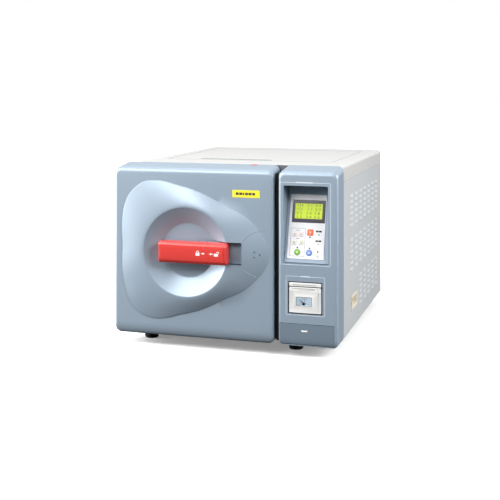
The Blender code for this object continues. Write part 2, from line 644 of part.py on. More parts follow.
def make_power():
    dark = finish(*DARK)
    x0, x1 = INLET_X - 0.031, INLET_X + 0.014
    z0, z1 = INLET_Z - 0.0135, INLET_Z + 0.0135
    y1 = BODY_DEPTH + CLEAR
    body = block(x0, x1, BODY_DEPTH - 0.030, y1 + 0.001, z0, z1)
    flange = rounded_block(x0 - 0.006, x1 + 0.006, y1, y1 + 0.003, z0 - 0.004, z1 + 0.004, 0.003)
    body = join(body, flange)
    face = y1 + 0.01
    socket = block(INLET_X - 0.0115, INLET_X + 0.0115, BODY_DEPTH - 0.016, face,
                   INLET_Z - 0.0085, INLET_Z + 0.0085)
    for x in (-0.007, 0.0, 0.007):
        pin = block(INLET_X + x - 0.001, INLET_X + x + 0.001, BODY_DEPTH - 0.018,
                    BODY_DEPTH - 0.001, INLET_Z - 0.002, INLET_Z + 0.002)
        socket = cut(socket, pin)
    switch_x = x0 + 0.0085
    well = block(switch_x - 0.0055, switch_x + 0.0055, BODY_DEPTH - 0.010, face,
                 INLET_Z - 0.0115, INLET_Z + 0.0115)
    part("power_inlet", cut(body, socket, well), dark)

    half = 0.0095
    tilt = math.radians(8)
    outline = [(y1 - 0.004, -half)]
    outline += [(y1 + 0.003 - 0.0005, -half), (y1 + 0.003 - 0.0012, 0.0),
                (y1 + 0.003 - 0.0005, half)]
    outline += [(y1 - 0.004, half)]
    rocker = prism([(y, z + INLET_Z) for y, z in outline], "X", switch_x - 0.0048,
                   switch_x + 0.0048)
    pivot = Vector((switch_x, y1 - 0.001, INLET_Z))
    turn = Matrix.Translation(pivot) @ Matrix.Rotation(tilt, 4, "X") @ Matrix.Translation(-pivot)
    bmesh.ops.transform(rocker, matrix=turn, verts=rocker.verts)
    part("rocker_switch", rocker, finish(*RED), pivot)


# ---------------------------------------------------------------- control column
def make_column():
    y1 = FRONT_DEPTH
    shell = front_shell(COLUMN_LEFT, WIDTH, y1, COLUMN_UNDERCUT)
    hollow = front_cavity(COLUMN_LEFT, WIDTH, y1, COLUMN_UNDERCUT)
    wall = PLASTIC_WALL
    wells = (
        (RECESS_LEFT, RECESS_RIGHT, RECESS_LOW, RECESS_HIGH, y1),
        (PRINTER_LEFT - 0.002, PRINTER_RIGHT + 0.002, PRINTER_LOW - 0.002,
         PRINTER_HIGH + 0.002, PRINTER_DEPTH),
        (FLAP_LEFT + 0.002, FLAP_RIGHT - 0.002, FLAP_LOW + 0.002, FLAP_HIGH - 0.002,
         FLAP_BAY_DEPTH + wall),
    )
    for x0, x1, z0, z1, deep in wells:
        hollow = cut(hollow, block(x0 - wall, x1 + wall, -0.01, deep, z0 - wall, z1 + wall))
    flap_room = FLAP_THICK + 0.0006
    hollow = cut(hollow, block(COLUMN_LEFT, WIDTH, -0.01, flap_room + wall, -0.01,
                               FLAP_HIGH + 0.0005 + wall))
    shell = cut(shell, hollow)
    for x0, x1, z0, z1, deep in wells[:2]:
        shell = cut(shell, block(x0, x1, -0.01, y1 + 0.01, z0, z1))
    x0, x1, z0, z1, deep = wells[2]
    shell = cut(shell, block(x0, x1, -0.01, FLAP_BAY_DEPTH, z0, z1))
    shell = cut(shell, block(FLAP_LEFT - 0.0005, FLAP_RIGHT + 0.0005, -0.01,
                             flap_room, -0.01, FLAP_HIGH + 0.0005))
    for x in DRAIN_X:
        shell = cut(shell, rod("Y", (x, DRAIN_Z), DRAIN_RADIUS + CLEAR, 0.03, y1 + 0.01, 24))
    part("control_column", shell, finish(*BLUE_GREY))


def keypad_matrix():
    """Keypad frame: x right, y up along the plate and z out of it, from its lower left."""
    base = Vector((RECESS_LEFT + CLEAR, KEYPAD_START, KEYPAD_LOW))
    up = Vector((0, math.sin(KEYPAD_TILT), math.cos(KEYPAD_TILT)))
    out = Vector((0, -math.cos(KEYPAD_TILT), math.sin(KEYPAD_TILT)))
    columns = Matrix((Vector((1, 0, 0)), up, out)).transposed().to_4x4()
    return Matrix.Translation(base) @ columns


def on_keypad(solid):
    bmesh.ops.transform(solid, matrix=keypad_matrix(), verts=solid.verts)
    return closed(solid)


def keypad_place(from_left, from_top):
    return (OVERLAY_LEFT + from_left, OVERLAY_LOW + OVERLAY_HEIGHT - from_top)


KEYS = (   # name, place from the overlay's upper left corner, size, round, colour
    ("key_wrapped", (0.0142, 0.0795), SQUARE_KEY, False, "E3DADA"),
    ("key_unwrapped", (0.0285, 0.0795), SQUARE_KEY, False, "E3DADA"),
    ("key_liquids", (0.0140, 0.0977), SQUARE_KEY, False, "DADBCB"),
    ("key_dry", (0.0291, 0.0977), SQUARE_KEY, False, "DADBCB"),
    ("key_cycle", (0.0480, 0.0756), START_KEY, False, "F47A4A"),
    ("key_start", (0.0217, 0.1179), ROUND_KEY, True, "7FAE3C"),
    ("key_stop", (0.0477, 0.1186), ROUND_KEY, True, "6F8CCC"),
)


def key_solid(place, size, is_round, low, high, grow=0.0):
    half = size / 2 + grow
    if is_round:
        return rod("Z", place, half, low, high, 24)
    x, y = place
    return rounded_block(x - half, x + half, y - half, y + half, low, high, 0.0012 + grow, "Z")


def make_keypad():
    wide = RECESS_RIGHT - RECESS_LEFT - 2 * CLEAR
    plate = block(0, wide, 0, KEYPAD_TALL, -KEYPAD_THICK, 0)
    film = block(OVERLAY_LEFT, OVERLAY_LEFT + OVERLAY_WIDTH, OVERLAY_LOW,
                 OVERLAY_LOW + OVERLAY_HEIGHT, -0.0005, OVERLAY_THICK)
    plate = join(plate, film)
    left, right, top, bottom = LCD_FRAME
    x0, y1 = keypad_place(left, top)
    x1, y0 = keypad_place(right, bottom)
    plate = cut(plate, block(x0, x1, y0, y1, -0.01, 0.01))
    for name, spot, size, is_round, colour in KEYS:
        hole = key_solid(keypad_place(*spot), size, is_round, -0.01, 0.01, KEY_GAP)
        plate = cut(plate, hole)
    part("keypad_plate", on_keypad(plate), finish(*WHITE_FILM))

    for name, spot, size, is_round, colour in KEYS:
        x, y = keypad_place(*spot)
        high = OVERLAY_THICK + KEY_PROUD
        key = key_solid((x, y), size, is_round, high - KEY_THICK, high)
        pivot = keypad_matrix() @ Vector((x, y, high))
        part(name, on_keypad(key), finish(name + "_cap", colour, 0.4), pivot)

    gap = 0.0004
    body = block(x0 + gap, x1 - gap, y0 + gap, y1 - gap, -0.005, OVERLAY_THICK)
    left, right, top, bottom = LCD_WINDOW
    wx0, wy1 = keypad_place(left, top)
    wx1, wy0 = keypad_place(right, bottom)
    body = cut(body, block(wx0, wx1, wy0, wy1, -0.003, 0.01))
    part("lcd_module", on_keypad(body), finish("lcd_surround", "4A4450", 0.4))

    low = -KEYPAD_THICK - BOARD_BEHIND
    board = block(0.006, wide - 0.006, 0.010, KEYPAD_TALL - 0.012, low, low + 0.0016)
    part("control_board", on_keypad(board), finish(*GREEN_BOARD))


def make_printer():
    x0, x1, z0, z1 = PRINTER_LEFT, PRINTER_RIGHT, PRINTER_LOW, PRINTER_HIGH
    gap = 0.002 - CLEAR
    wall = PRINTER_WALL
    house = block(x0 - gap, x1 + gap, 0.0, PRINTER_DEPTH + 0.004, z0 - gap, z1 + gap)
    bay = block(x0, x1, -0.01, PRINTER_DEPTH, z0, z1)
    slit = 0.0018
    cover_top = z1 - 0.010
    tear_bar = block(x0 - 0.001, x1 + 0.001, 0.0, PRINTER_COVER, cover_top + slit, z1 + 0.001)
    part("printer_housing", join(cut(house, bay), tear_bar), finish(*BLUE_GREY))

    middle = (x0 + x1) / 2
    roll_place = (0.028, z0 + PAPER_RADIUS + 0.004)
    roll = ring("X", roll_place, 0.006, PAPER_RADIUS, middle - PAPER_WIDTH / 2,
                middle + PAPER_WIDTH / 2, 32)
    part("paper_roll", roll, finish("thermal_paper", "F4F4F0", 0.8), (middle, *roll_place))
    platen_place = (0.012, z1 - 0.010)
    platen = rod("X", platen_place, PLATEN_RADIUS, x0 + 0.003, x1 - 0.003, 24)
    part("platen_roller", platen, finish(*RUBBER), (middle, *platen_place))

    cover = block(x0 + 0.0006, x1 - 0.0006, 0.0, PRINTER_COVER, z0 + 0.0006, cover_top)
    window = block(x0 + 0.014, x0 + 0.049, -0.01, 0.0012, z0 + 0.016, z0 + 0.036)
    button_place = (x0 + 0.032, z0 + 0.020)
    hole = rod("Y", button_place, 0.0028, -0.01, 0.01, 20)
    pivot = (middle, 0.0, z0 + 0.0006)
    part("printer_cover", cut(cover, window, hole), finish(*WHITE_FILM), pivot)
    button = rod("Y", button_place, 0.0024, -0.0008, 0.0035, 20)
    part("printer_button", button, finish(*DARK), (button_place[0], 0.0, button_place[1]))


def make_drain():
    hinge = (FLAP_THICK / 2, FLAP_LOW)
    outline = arc(*hinge, FLAP_THICK / 2, FLAP_THICK / 2, 180, 360, 8)
    outline += [(FLAP_THICK, FLAP_HIGH), (0.0, FLAP_HIGH)]
    flap = prism(outline, "X", FLAP_LEFT, FLAP_RIGHT)
    pivot = ((FLAP_LEFT + FLAP_RIGHT) / 2, *hinge)
    part("drain_flap", flap, finish(*BLUE_GREY), pivot)
    z = DRAIN_Z
    for name, x, colour in (("clean", DRAIN_X[0], "3C6FB4"), ("used", DRAIN_X[1], "B8433C")):
        profile = [(0.030, 0), (0.030, 0.0075), (0.040, 0.0075), (0.040, DRAIN_RADIUS),
                   (FRONT_DEPTH - 0.001, DRAIN_RADIUS), (FRONT_DEPTH - 0.001, 0)]
        part(f"drain_valve_{name}", turned(profile, "Y", (x, z), 24), finish(*BRASS))
        hub = rod("Y", (x, z), 0.0080, 0.018, 0.030 - CLEAR, 24)
        lever = rounded_block(x - 0.004, x + 0.004, 0.012, 0.019, z - 0.012, z + 0.012, 0.003)
        part(f"drain_knob_{name}", join(hub, lever), finish(f"knob_{name}", colour, 0.4),
             (x, 0.018, z))


def make_side_grip():
    y0, y1, z0, z1 = SIDE_GRIP
    x1 = CABINET_RIGHT + 0.001
    body = block(x1 - 0.024, x1 - 0.002, y0 + CLEAR, y1 - CLEAR, z0 + CLEAR, z1 - CLEAR)
    flange = block(CABINET_RIGHT + CLEAR, x1 + 0.0008, y0 - 0.003, y1 + 0.003, z0 - 0.003,
                   z1 + 0.003)
    neck = block(x1 - 0.004, x1, y0 + CLEAR, y1 - CLEAR, z0 + CLEAR, z1 - CLEAR)
    pocket = block(x1 - 0.022, x1 + 0.01, y0 + 0.003, y1 - 0.003, z0 + 0.003, z1 - 0.003)
    part("side_grip", cut(join(body, neck, flange), pocket), finish("cream_plastic", "DCCDB4", 0.5))


# ---------------------------------------------------------------- door
def egg_radius(angle):
    """Distance from the dish's axis to the swelling's outline, by a smooth closed curve."""
    polar = sorted((math.atan2(z - CHAMBER_Z, x - CHAMBER_X) % math.tau,
                    math.hypot(x - CHAMBER_X, z - CHAMBER_Z)) for x, z in EGG)
    around = [(a - math.tau, r) for a, r in polar[-2:]] + polar
    around += [(a + math.tau, r) for a, r in polar[:2]]
    angle %= math.tau
    k = next(i for i in range(1, len(around)) if around[i + 1][0] > angle)
    (a0, r0), (a1, r1), (a2, r2), (a3, r3) = around[k - 1:k + 3]
    step = a2 - a1
    t = (angle - a1) / step
    slope_1, slope_2 = (r2 - r0) / (a2 - a0) * step, (r3 - r1) / (a3 - a1) * step
    return ((2 * t ** 3 - 3 * t ** 2 + 1) * r1 + (t ** 3 - 2 * t ** 2 + t) * slope_1
            + (3 * t ** 2 - 2 * t ** 3) * r2 + (t ** 3 - t ** 2) * slope_2)


def bulge_outline(steps=72):
    """The raised swelling round the dish: an egg whose point lies to the right."""
    points = []
    for i in range(steps):
        angle = math.tau * i / steps
        radius = egg_radius(angle)
        points.append((CHAMBER_X + radius * math.cos(angle),
                       CHAMBER_Z + radius * math.sin(angle)))
    return points


def dish_circle(radius, count=72):
    points = []
    for i in range(count):
        angle = math.tau * i / count
        points.append((CHAMBER_X + radius * math.cos(angle), CHAMBER_Z + radius * math.sin(angle)))
    return points


def bulge_solid(inset, y_base, y_rim):
    """From the egg on the door's face up to the circle round the dish."""
    egg = bulge_outline()
    middle = Vector((CHAMBER_X, CHAMBER_Z))
    pulled = []
    for x, z in egg:
        away = Vector((x, z)) - middle
        pulled.append(middle + away * (1 - inset / away.length))
    rim = dish_circle(DISH_RIM + RIM_LAND - inset)
    rings = []
    for share, lift in ((0.0, 0.0), (0.0, 0.12), (0.35, 0.55), (0.7, 0.87), (1.0, 1.0)):
        y = y_base + (y_rim - y_base) * lift
        rings.append([Vector((a.x + (b[0] - a.x) * share, y, a.y + (b[1] - a.y) * share))
                      for a, b in zip(pulled, rim)])
    return loft(rings)


def make_door_cover():
    wall = PLASTIC_WALL
    back = FRONT_DEPTH - wall
    shell = front_shell(0.0, DOOR_WIDTH, back, DOOR_UNDERCUT)
    shell = join(shell, bulge_solid(0.0, 0.001, -DISH_PROUD))
    shell = cut(shell, front_cavity(0.0, DOOR_WIDTH, back, DOOR_UNDERCUT))
    shell = cut(shell, bulge_solid(2 * wall, wall + 0.001, wall - DISH_PROUD))

    axis = (CHAMBER_X, CHAMBER_Z)
    outside = [(-DISH_PROUD + 0.0004, 0), (-DISH_PROUD + 0.0004, DISH_RIM + 0.002),
               (DISH_DEEP + wall, DISH_FLOOR + wall), (DISH_DEEP + wall, 0)]
    shell = join(shell, turned(outside, "Y", axis, 72))
    half = CHANNEL_HEIGHT / 2
    trough = block(CHAMBER_X, CHANNEL_END + wall, -0.006, CHANNEL_FLOOR + wall,
                   CHAMBER_Z - half - wall, CHAMBER_Z + half + wall)
    shell = join(shell, trough)
    inside = [(-DISH_PROUD - 0.01, 0), (-DISH_PROUD - 0.01, DISH_RIM), (-DISH_PROUD, DISH_RIM),
              (DISH_DEEP, DISH_FLOOR), (DISH_DEEP, 0)]
    shell = cut(shell, turned(inside, "Y", axis, 72))
    channel = rounded_block(CHAMBER_X, CHANNEL_END, -0.05, CHANNEL_FLOOR,
                            CHAMBER_Z - half, CHAMBER_Z + half, 0.004)
    shell = cut(shell, channel)
    slot = 0.001
    shell = cut(shell, rounded_block(HANDLE_X - POST_LENGTH / 2 - slot,
                                     HANDLE_X + POST_LENGTH / 2 + HANDLE_TRAVEL + slot,
                                     -0.02, 0.02, CHAMBER_Z - POST_HEIGHT / 2 - slot,
                                     CHAMBER_Z + POST_HEIGHT / 2 + slot, 0.003))
    shell = cut(shell, block(RELEASE_X - 0.0070, RELEASE_X + 0.0070, RELEASE_Y - 0.0025,
                             RELEASE_Y + 0.0025, BODY_HEIGHT - 0.02, BODY_HEIGHT + 0.01))
    part("door_cover", shell, finish(*BLUE_GREY))


def make_release_button():
    top = BODY_HEIGHT - TOP_FALL * (1 - RELEASE_Y / FRONT_DEPTH)
    button = block(RELEASE_X - 0.0065, RELEASE_X + 0.0065, RELEASE_Y - 0.0020,
                   RELEASE_Y + 0.0020, top - 0.012, top + 0.0012)
    part("release_button", button, finish(*RED), (RELEASE_X, RELEASE_Y, top))


def make_door_back():
    wall = PLASTIC_WALL
    y0 = FRONT_DEPTH - wall + CLEAR
    y1 = FRONT_DEPTH - CLEAR
    edge = 0.001
    plate = rounded_block(edge, DOOR_WIDTH - edge, y0, y1, edge, BODY_HEIGHT - 0.002,
                          CORNER_RADIUS)
    hole = PLATE_RADIUS + 0.001
    plate = cut(plate, rod("Y", (CHAMBER_X, CHAMBER_Z), hole, y0 - 0.01, y1 + 0.01, 48))
    keeper_z = BOLT_LINE - LOCK_BAR / 2
    room = 0.005
    plate = cut(plate, block(KEEPER_X - room, KEEPER_X + KEEPER_WIDTH + room, y0 - 0.01,
                             y1 + 0.01, keeper_z - KEEPER_HEIGHT / 2 - room,
                             keeper_z + KEEPER_HEIGHT / 2 + room))
    part("door_back_cover", plate, finish(*BLUE_GREY))


def make_pressure_plate():
    axis = (CHAMBER_X, CHAMBER_Z)
    crown = 0.008
    profile = [(PLATE_FRONT - crown, 0), (PLATE_FRONT, PLATE_RADIUS * 0.8),
               (PLATE_FRONT + 0.004, PLATE_RADIUS), (PLATE_BACK, PLATE_RADIUS), (PLATE_BACK, 0)]
    plate = turned(profile, "Y", axis)
    boss_front = LOCK_Y + PINION_THICK + CLEAR
    plate = join(plate, rod("Y", (CHAMBER_X, PINION_Z), BOSS_RADIUS, boss_front, PLATE_FRONT + 0.004))
    bore = PIN_RADIUS + RUNNING
    plate = cut(plate, rod("Y", (CHAMBER_X, PINION_Z), bore, 0.0, PLATE_FRONT - 0.002, 32))
    part("pressure_plate", plate, finish(*STEEL))
    lip = 0.0006
    shoulder, edge = 0.001, 0.0025
    face = CABINET_FRONT - lip
    profile = [(PLATE_BACK + CLEAR, CHAMBER_RADIUS), (PLATE_BACK + CLEAR, GASKET_OUTER),
               (face - shoulder, GASKET_OUTER), (face, GASKET_OUTER - edge),
               (face, CHAMBER_RADIUS + edge), (face - shoulder, CHAMBER_RADIUS)]
    part("door_gasket", turned(profile, "Y", axis), finish(*SILICONE))


def make_handle():
    half_l, half_h = HANDLE_LENGTH / 2, HANDLE_HEIGHT / 2
    bevel, depth = 0.0065, 0.005
    x0, x1 = HANDLE_X - half_l, HANDLE_X + half_l
    z0, z1 = CHAMBER_Z - half_h, CHAMBER_Z + half_h
    outer = rounded(x0, x1, z0, z1, 0.005, 3)
    face = rounded(x0 + 0.002, x1 - 0.004, z0 + bevel, z1 - bevel, 0.004, 3)
    rings = []
    for y, outline in ((HANDLE_BACK, outer), (-HANDLE_PROUD + depth, outer),
                       (-HANDLE_PROUD, face)):
        rings.append([Vector((x, y, z)) for x, z in outline])
    grip = loft(rings)
    grip = join(grip, rounded_block(HANDLE_X - POST_LENGTH / 2, HANDLE_X + POST_LENGTH / 2,
                                    HANDLE_BACK - 0.002, LOCK_Y - CLEAR,
                                    CHAMBER_Z - POST_HEIGHT / 2, CHAMBER_Z + POST_HEIGHT / 2,
                                    0.002))
    part("handle_grip", grip, finish(*RED), (HANDLE_X, HANDLE_BACK, CHAMBER_Z))


def tooth_points(x, line, direction):
    """One rack tooth, as four (x, z) points from left to right."""
    wide = TOOTH_SHARE * TOOTH_PITCH
    root, tip = 1.2 * TOOTH_MODULE, 0.8 * TOOTH_MODULE
    slope = math.tan(math.radians(20))
    return [(x - wide / 2 - slope * root, line - direction * root),
            (x - wide / 2 + slope * tip, line + direction * tip),
            (x + wide / 2 - slope * tip, line + direction * tip),
            (x + wide / 2 + slope * root, line - direction * root)]


def rack_bar(x0, x1, line, direction, first, last):
    """A bar with teeth from x = first to last, facing up (1) or down (-1)."""
    far = line - direction * LOCK_BAR
    root = line - direction * 1.2 * TOOTH_MODULE
    outline = [(x0, far), (x0, root)]
    start = math.ceil((first - CHAMBER_X) / TOOTH_PITCH)
    stop = math.floor((last - CHAMBER_X) / TOOTH_PITCH)
    for i in range(start, stop + 1):
        outline += tooth_points(CHAMBER_X + i * TOOTH_PITCH, line, direction)
    outline += [(x1, root), (x1, far)]
    return prism(outline, "Y", LOCK_Y, LOCK_Y + PINION_THICK)


def make_lock():
    zinc = finish(*ZINC)
    rack = rack_bar(HANDLE_X - RACK_HALF, HANDLE_X + RACK_HALF, RACK_LINE, -1,
                    CHAMBER_X - HANDLE_TRAVEL - LOCK_REACH, CHAMBER_X + LOCK_REACH)
    part("handle_rack", rack, zinc, (HANDLE_X, LOCK_Y, RACK_LINE))
    bolt = rack_bar(CHAMBER_X - LOCK_REACH - 0.004, KEEPER_X - BOLT_GAP, BOLT_LINE, 1,
                    CHAMBER_X - LOCK_REACH, CHAMBER_X + HANDLE_TRAVEL + LOCK_REACH)
    part("lock_bolt", bolt, zinc, (KEEPER_X, LOCK_Y, BOLT_LINE))

    outline = []
    wide = TOOTH_SHARE * TOOTH_PITCH / PITCH_RADIUS
    root, tip = PITCH_RADIUS - 1.2 * TOOTH_MODULE, PITCH_RADIUS + 0.8 * TOOTH_MODULE
    for i in range(PINION_TEETH):
        middle = math.tau * (i + 0.5) / PINION_TEETH
        for radius, share in ((root, -0.72), (tip, -0.27), (tip, 0.27), (root, 0.72)):
            angle = middle + share * wide
            outline.append((CHAMBER_X + radius * math.cos(angle),
                            PINION_Z + radius * math.sin(angle)))
    gear = prism(outline, "Y", LOCK_Y, LOCK_Y + PINION_THICK)
    gear = join(gear, rod("Y", (CHAMBER_X, PINION_Z), PIN_RADIUS, LOCK_Y + 0.001,
                          PLATE_FRONT - 0.003, 32))
    part("lock_pinion", gear, zinc, (CHAMBER_X, LOCK_Y, PINION_Z))


def make_hinge():
    zinc = finish(*ZINC)
    axis = (HINGE_X, HINGE_Y)
    strap_y = (FRONT_DEPTH, FRONT_DEPTH + STRAP_THICK)
    strap = block(STRAP_LEFT, STRAP_RIGHT, *strap_y, STRAP_LOW, STRAP_HIGH)
    plate_x = (CABINET_LEFT - 0.0024, CABINET_LEFT - CLEAR)
    bracket = block(*plate_x, HINGE_Y - 0.007, HINGE_Y + 0.045, STRAP_LOW + 0.010,
                    STRAP_HIGH - 0.010)
    half = KNUCKLE_LENGTH / 2
    for z in KNUCKLES:
        low, high = z - half, z + half
        arm = block(HINGE_X - 0.005, HINGE_X + 0.005, strap_y[0] + 0.001, HINGE_Y, low, high)
        strap = join(strap, arm, rod("Z", axis, KNUCKLE_RADIUS, low, high, 32))
        strap = cut(strap, rod("Z", axis, HINGE_PIN + RUNNING, low - 0.01, high + 0.01, 32))
        for z0, z1 in ((low - CLEAR - EAR_LENGTH, low - CLEAR),
                       (high + CLEAR, high + CLEAR + EAR_LENGTH)):
            ear = block(HINGE_X, plate_x[1] - 0.0008, HINGE_Y - 0.006, HINGE_Y + 0.006, z0, z1)
            bracket = join(bracket, ear, rod("Z", axis, EAR_RADIUS, z0, z1, 24))
        bracket = join(bracket, rod("Z", axis, HINGE_PIN, low - 0.004, high + 0.004, 32))
    part("hinge_strap", strap, zinc)
    part("hinge_bracket", bracket, zinc)


clear_scene()
make_housing()
make_feet()
make_chamber()
make_tank()
make_machinery()
make_fan()
make_power()
make_column()
make_keypad()
make_printer()
make_drain()
make_side_grip()
make_door_cover()
make_release_button()
make_door_back()
make_pressure_plate()
make_handle()
make_lock()
make_hinge()
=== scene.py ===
import math

import bmesh
import bpy
from mathutils import Euler, Matrix, Vector


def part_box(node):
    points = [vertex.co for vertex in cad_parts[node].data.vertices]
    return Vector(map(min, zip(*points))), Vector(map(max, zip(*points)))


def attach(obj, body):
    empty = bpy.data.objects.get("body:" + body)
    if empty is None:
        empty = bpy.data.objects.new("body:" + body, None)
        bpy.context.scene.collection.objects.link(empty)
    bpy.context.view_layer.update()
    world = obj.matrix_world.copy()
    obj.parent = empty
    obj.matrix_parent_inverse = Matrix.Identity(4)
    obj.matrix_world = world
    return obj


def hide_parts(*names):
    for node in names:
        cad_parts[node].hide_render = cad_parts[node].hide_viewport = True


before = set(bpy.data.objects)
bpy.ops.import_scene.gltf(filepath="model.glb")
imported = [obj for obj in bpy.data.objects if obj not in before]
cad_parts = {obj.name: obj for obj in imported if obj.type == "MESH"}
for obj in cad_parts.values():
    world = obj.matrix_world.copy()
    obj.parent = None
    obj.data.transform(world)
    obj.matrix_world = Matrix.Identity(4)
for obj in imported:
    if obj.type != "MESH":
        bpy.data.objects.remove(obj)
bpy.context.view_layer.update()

# ---------------------------------------------------------------- camera
# A catalogue view from the front right, a little above the top cover.  The lens is a
# long one held level with its back shifted down, so upright edges stay upright.
camera_data = bpy.data.cameras.new("camera")
camera_data.sensor_width = 36.0
camera_data.lens = 67.6
camera_data.shift_x = -0.0243
camera_data.shift_y = -0.3303
camera = bpy.data.objects.new("camera", camera_data)
camera.location = (0.6514, -2.2284, 0.5840)
camera.rotation_euler = (math.radians(90.0), 0.0, math.radians(16.2))
bpy.context.scene.collection.objects.link(camera)
bpy.context.scene.camera = camera
bpy.context.scene.view_settings.view_transform = "Standard"


# ---------------------------------------------------------------- studio
# A white sweep in soft light from five boxes: a weak one overhead, the two strongest on
# the left and two on the right.  The surround and the sweep look white, but they give
# less light back, as in a room with dark walls, and most of it comes from behind.
def linear(hex_colour):
    """An sRGB hex colour as the linear values that Blender's sockets hold."""
    parts = [int(hex_colour[i:i + 2], 16) / 255 for i in (0, 2, 4)]
    values = [c / 12.92 if c <= 0.04045 else ((c + 0.055) / 1.055) ** 2.4 for c in parts]
    return (*values, 1.0)


def add_node(tree, kind, inputs=None, **settings):
    """Add a node, set its fields, and set or link its inputs by name or number."""
    made = tree.nodes.new(kind)
    for field, value in settings.items():
        setattr(made, field, value)
    for key, value in (inputs or {}).items():
        if isinstance(value, bpy.types.NodeSocket):
            tree.links.new(value, made.inputs[key])
        else:
            made.inputs[key].default_value = value
    return made


def empty_tree(owner):
    """The node tree of a world or a material, with nothing in it."""
    owner.use_nodes = True
    owner.node_tree.nodes.clear()
    return owner.node_tree


def link(thing):
    bpy.context.scene.collection.objects.link(thing)
    return thing


world = bpy.data.worlds.new("white_surround")
tree = empty_tree(world)
seen = add_node(tree, "ShaderNodeLightPath").outputs["Is Camera Ray"]
heading = add_node(tree, "ShaderNodeTexCoord").outputs["Generated"]
behind = add_node(tree, "ShaderNodeSeparateXYZ", {0: heading}).outputs["Y"]
glow = add_node(tree, "ShaderNodeMapRange", {"Value": behind, "From Min": -0.6, "From Max": 0.8,
                                             "To Min": 0.20, "To Max": 0.85})
level = add_node(tree, "ShaderNodeMix", {"Factor": seen, "A": glow.outputs[0], "B": 1.0})
white = add_node(tree, "ShaderNodeBackground", {"Color": (1.0, 1.0, 1.0, 1.0),
                                                "Strength": level.outputs[0]})
add_node(tree, "ShaderNodeOutputWorld", {"Surface": white.outputs[0]})
bpy.context.scene.world = world

reach = 30.0
floor_mesh = bpy.data.meshes.new("floor")
floor_mesh.from_pydata([(-reach, -reach, 0), (reach, -reach, 0), (reach, reach, 0),
                        (-reach, reach, 0)], [], [(0, 1, 2, 3)])
sweep = bpy.data.materials.new("white_sweep")
tree = empty_tree(sweep)
seen = add_node(tree, "ShaderNodeLightPath").outputs["Is Camera Ray"]
place = add_node(tree, "ShaderNodeTexCoord").outputs["Object"]
away = add_node(tree, "ShaderNodeVectorMath", {0: place}, operation="LENGTH").outputs["Value"]
glow = add_node(tree, "ShaderNodeMapRange", {"Value": away, "From Min": 0.5, "From Max": 1.6,
                                             "To Min": 0.24, "To Max": 1.0})
glow = add_node(tree, "ShaderNodeMath", {0: glow.outputs[0], 1: seen}, operation="MULTIPLY")
paper = add_node(tree, "ShaderNodeMix", {"Factor": seen, "A": linear("3C3C3C"),
                                         "B": linear("FFFFFF")}, data_type="RGBA")
matt = add_node(tree, "ShaderNodeBsdfDiffuse", {"Color": paper.outputs["Result"]})
lit = add_node(tree, "ShaderNodeEmission", {"Strength": glow.outputs[0]})
both = add_node(tree, "ShaderNodeAddShader", {0: matt.outputs[0], 1: lit.outputs[0]})
add_node(tree, "ShaderNodeOutputMaterial", {"Surface": both.outputs[0]})
floor_mesh.materials.append(sweep)
floor = link(bpy.data.objects.new("floor", floor_mesh))


def add_light(name, place, aim, size, watts):
    """A soft box, turned so that it faces a point."""
    data = bpy.data.lights.new(name, "AREA")
    data.shape = "RECTANGLE"
    data.size, data.size_y = size
    data.energy = watts
    lamp = link(bpy.data.objects.new(name, data))
    lamp.location = place
    lamp.rotation_euler = (Vector(aim) - Vector(place)).to_track_quat("-Z", "Y").to_euler()


add_light("overhead_box", (-0.3, -0.5, 2.2), (0.0, -0.3, 0.0), (2.2, 0.8), 11)
add_light("front_box", (-1.0, -1.7, 1.6), (-0.05, -0.3, 0.25), (2.0, 0.9), 47)
add_light("left_box", (-2.2, -0.9, 0.6), (0.0, -0.3, 0.2), (1.4, 1.4), 66)
add_light("right_high_box", (1.9, -1.3, 1.5), (0.0, -0.3, 0.2), (0.9, 0.9), 42)
add_light("right_box", (2.4, 0.0, 0.8), (0.25, 0.1, 0.2), (1.2, 1.2), 30)

# ---------------------------------------------------------------- door cover
# The outer shell of the door, injection-moulded in satin ABS: a deep tray with a rolled
# upper edge, an undercut lower edge, an egg-shaped swelling and, in the swelling, a
# round dish behind the handle.
def surface(name, colour, roughness, metallic=0.0, tint=0.03, cloud=0.15, grain=0.0012,
            depth=0.00002, stretch=(1.0, 1.0, 1.0), uneven=0.04, **more):
    """A finish with faintly cloudy colour, uneven gloss and a fine bump.

    cloud and grain are the widths, in metres, of the colour patches and of the bumps;
    stretch shortens the pattern along an axis, so 0.1 draws it ten times as long.
    """
    material = bpy.data.materials.new(name)
    tree = empty_tree(material)
    place = add_node(tree, "ShaderNodeTexCoord").outputs["Object"]
    place = add_node(tree, "ShaderNodeMapping", {"Vector": place, "Scale": stretch}).outputs[0]
    patches = add_node(tree, "ShaderNodeTexNoise", {"Vector": place, "Scale": 1 / cloud,
                                                    "Detail": 3.0}).outputs["Fac"]
    base = Vector(linear(colour)[:3])
    low, high = [(*(base * (1 + sign * tint)), 1.0) for sign in (-1, 1)]
    paint = add_node(tree, "ShaderNodeMix", {"Factor": patches, "A": low, "B": high},
                     data_type="RGBA")
    fine = add_node(tree, "ShaderNodeTexNoise", {"Vector": place, "Scale": 1 / grain,
                                                 "Detail": 2.0}).outputs["Fac"]
    gloss = add_node(tree, "ShaderNodeMapRange", {"Value": patches, "To Min": roughness - uneven,
                                                  "To Max": roughness + uneven})
    bump = add_node(tree, "ShaderNodeBump", {"Height": fine, "Distance": depth})
    inputs = {"Base Color": paint.outputs["Result"], "Roughness": gloss.outputs[0],
              "Metallic": metallic, "Normal": bump.outputs[0]}
    inputs.update({key.replace("_", " "): value for key, value in more.items()})
    shader = add_node(tree, "ShaderNodeBsdfPrincipled", inputs)
    add_node(tree, "ShaderNodeOutputMaterial", {"Surface": shader.outputs[0]})
    return material


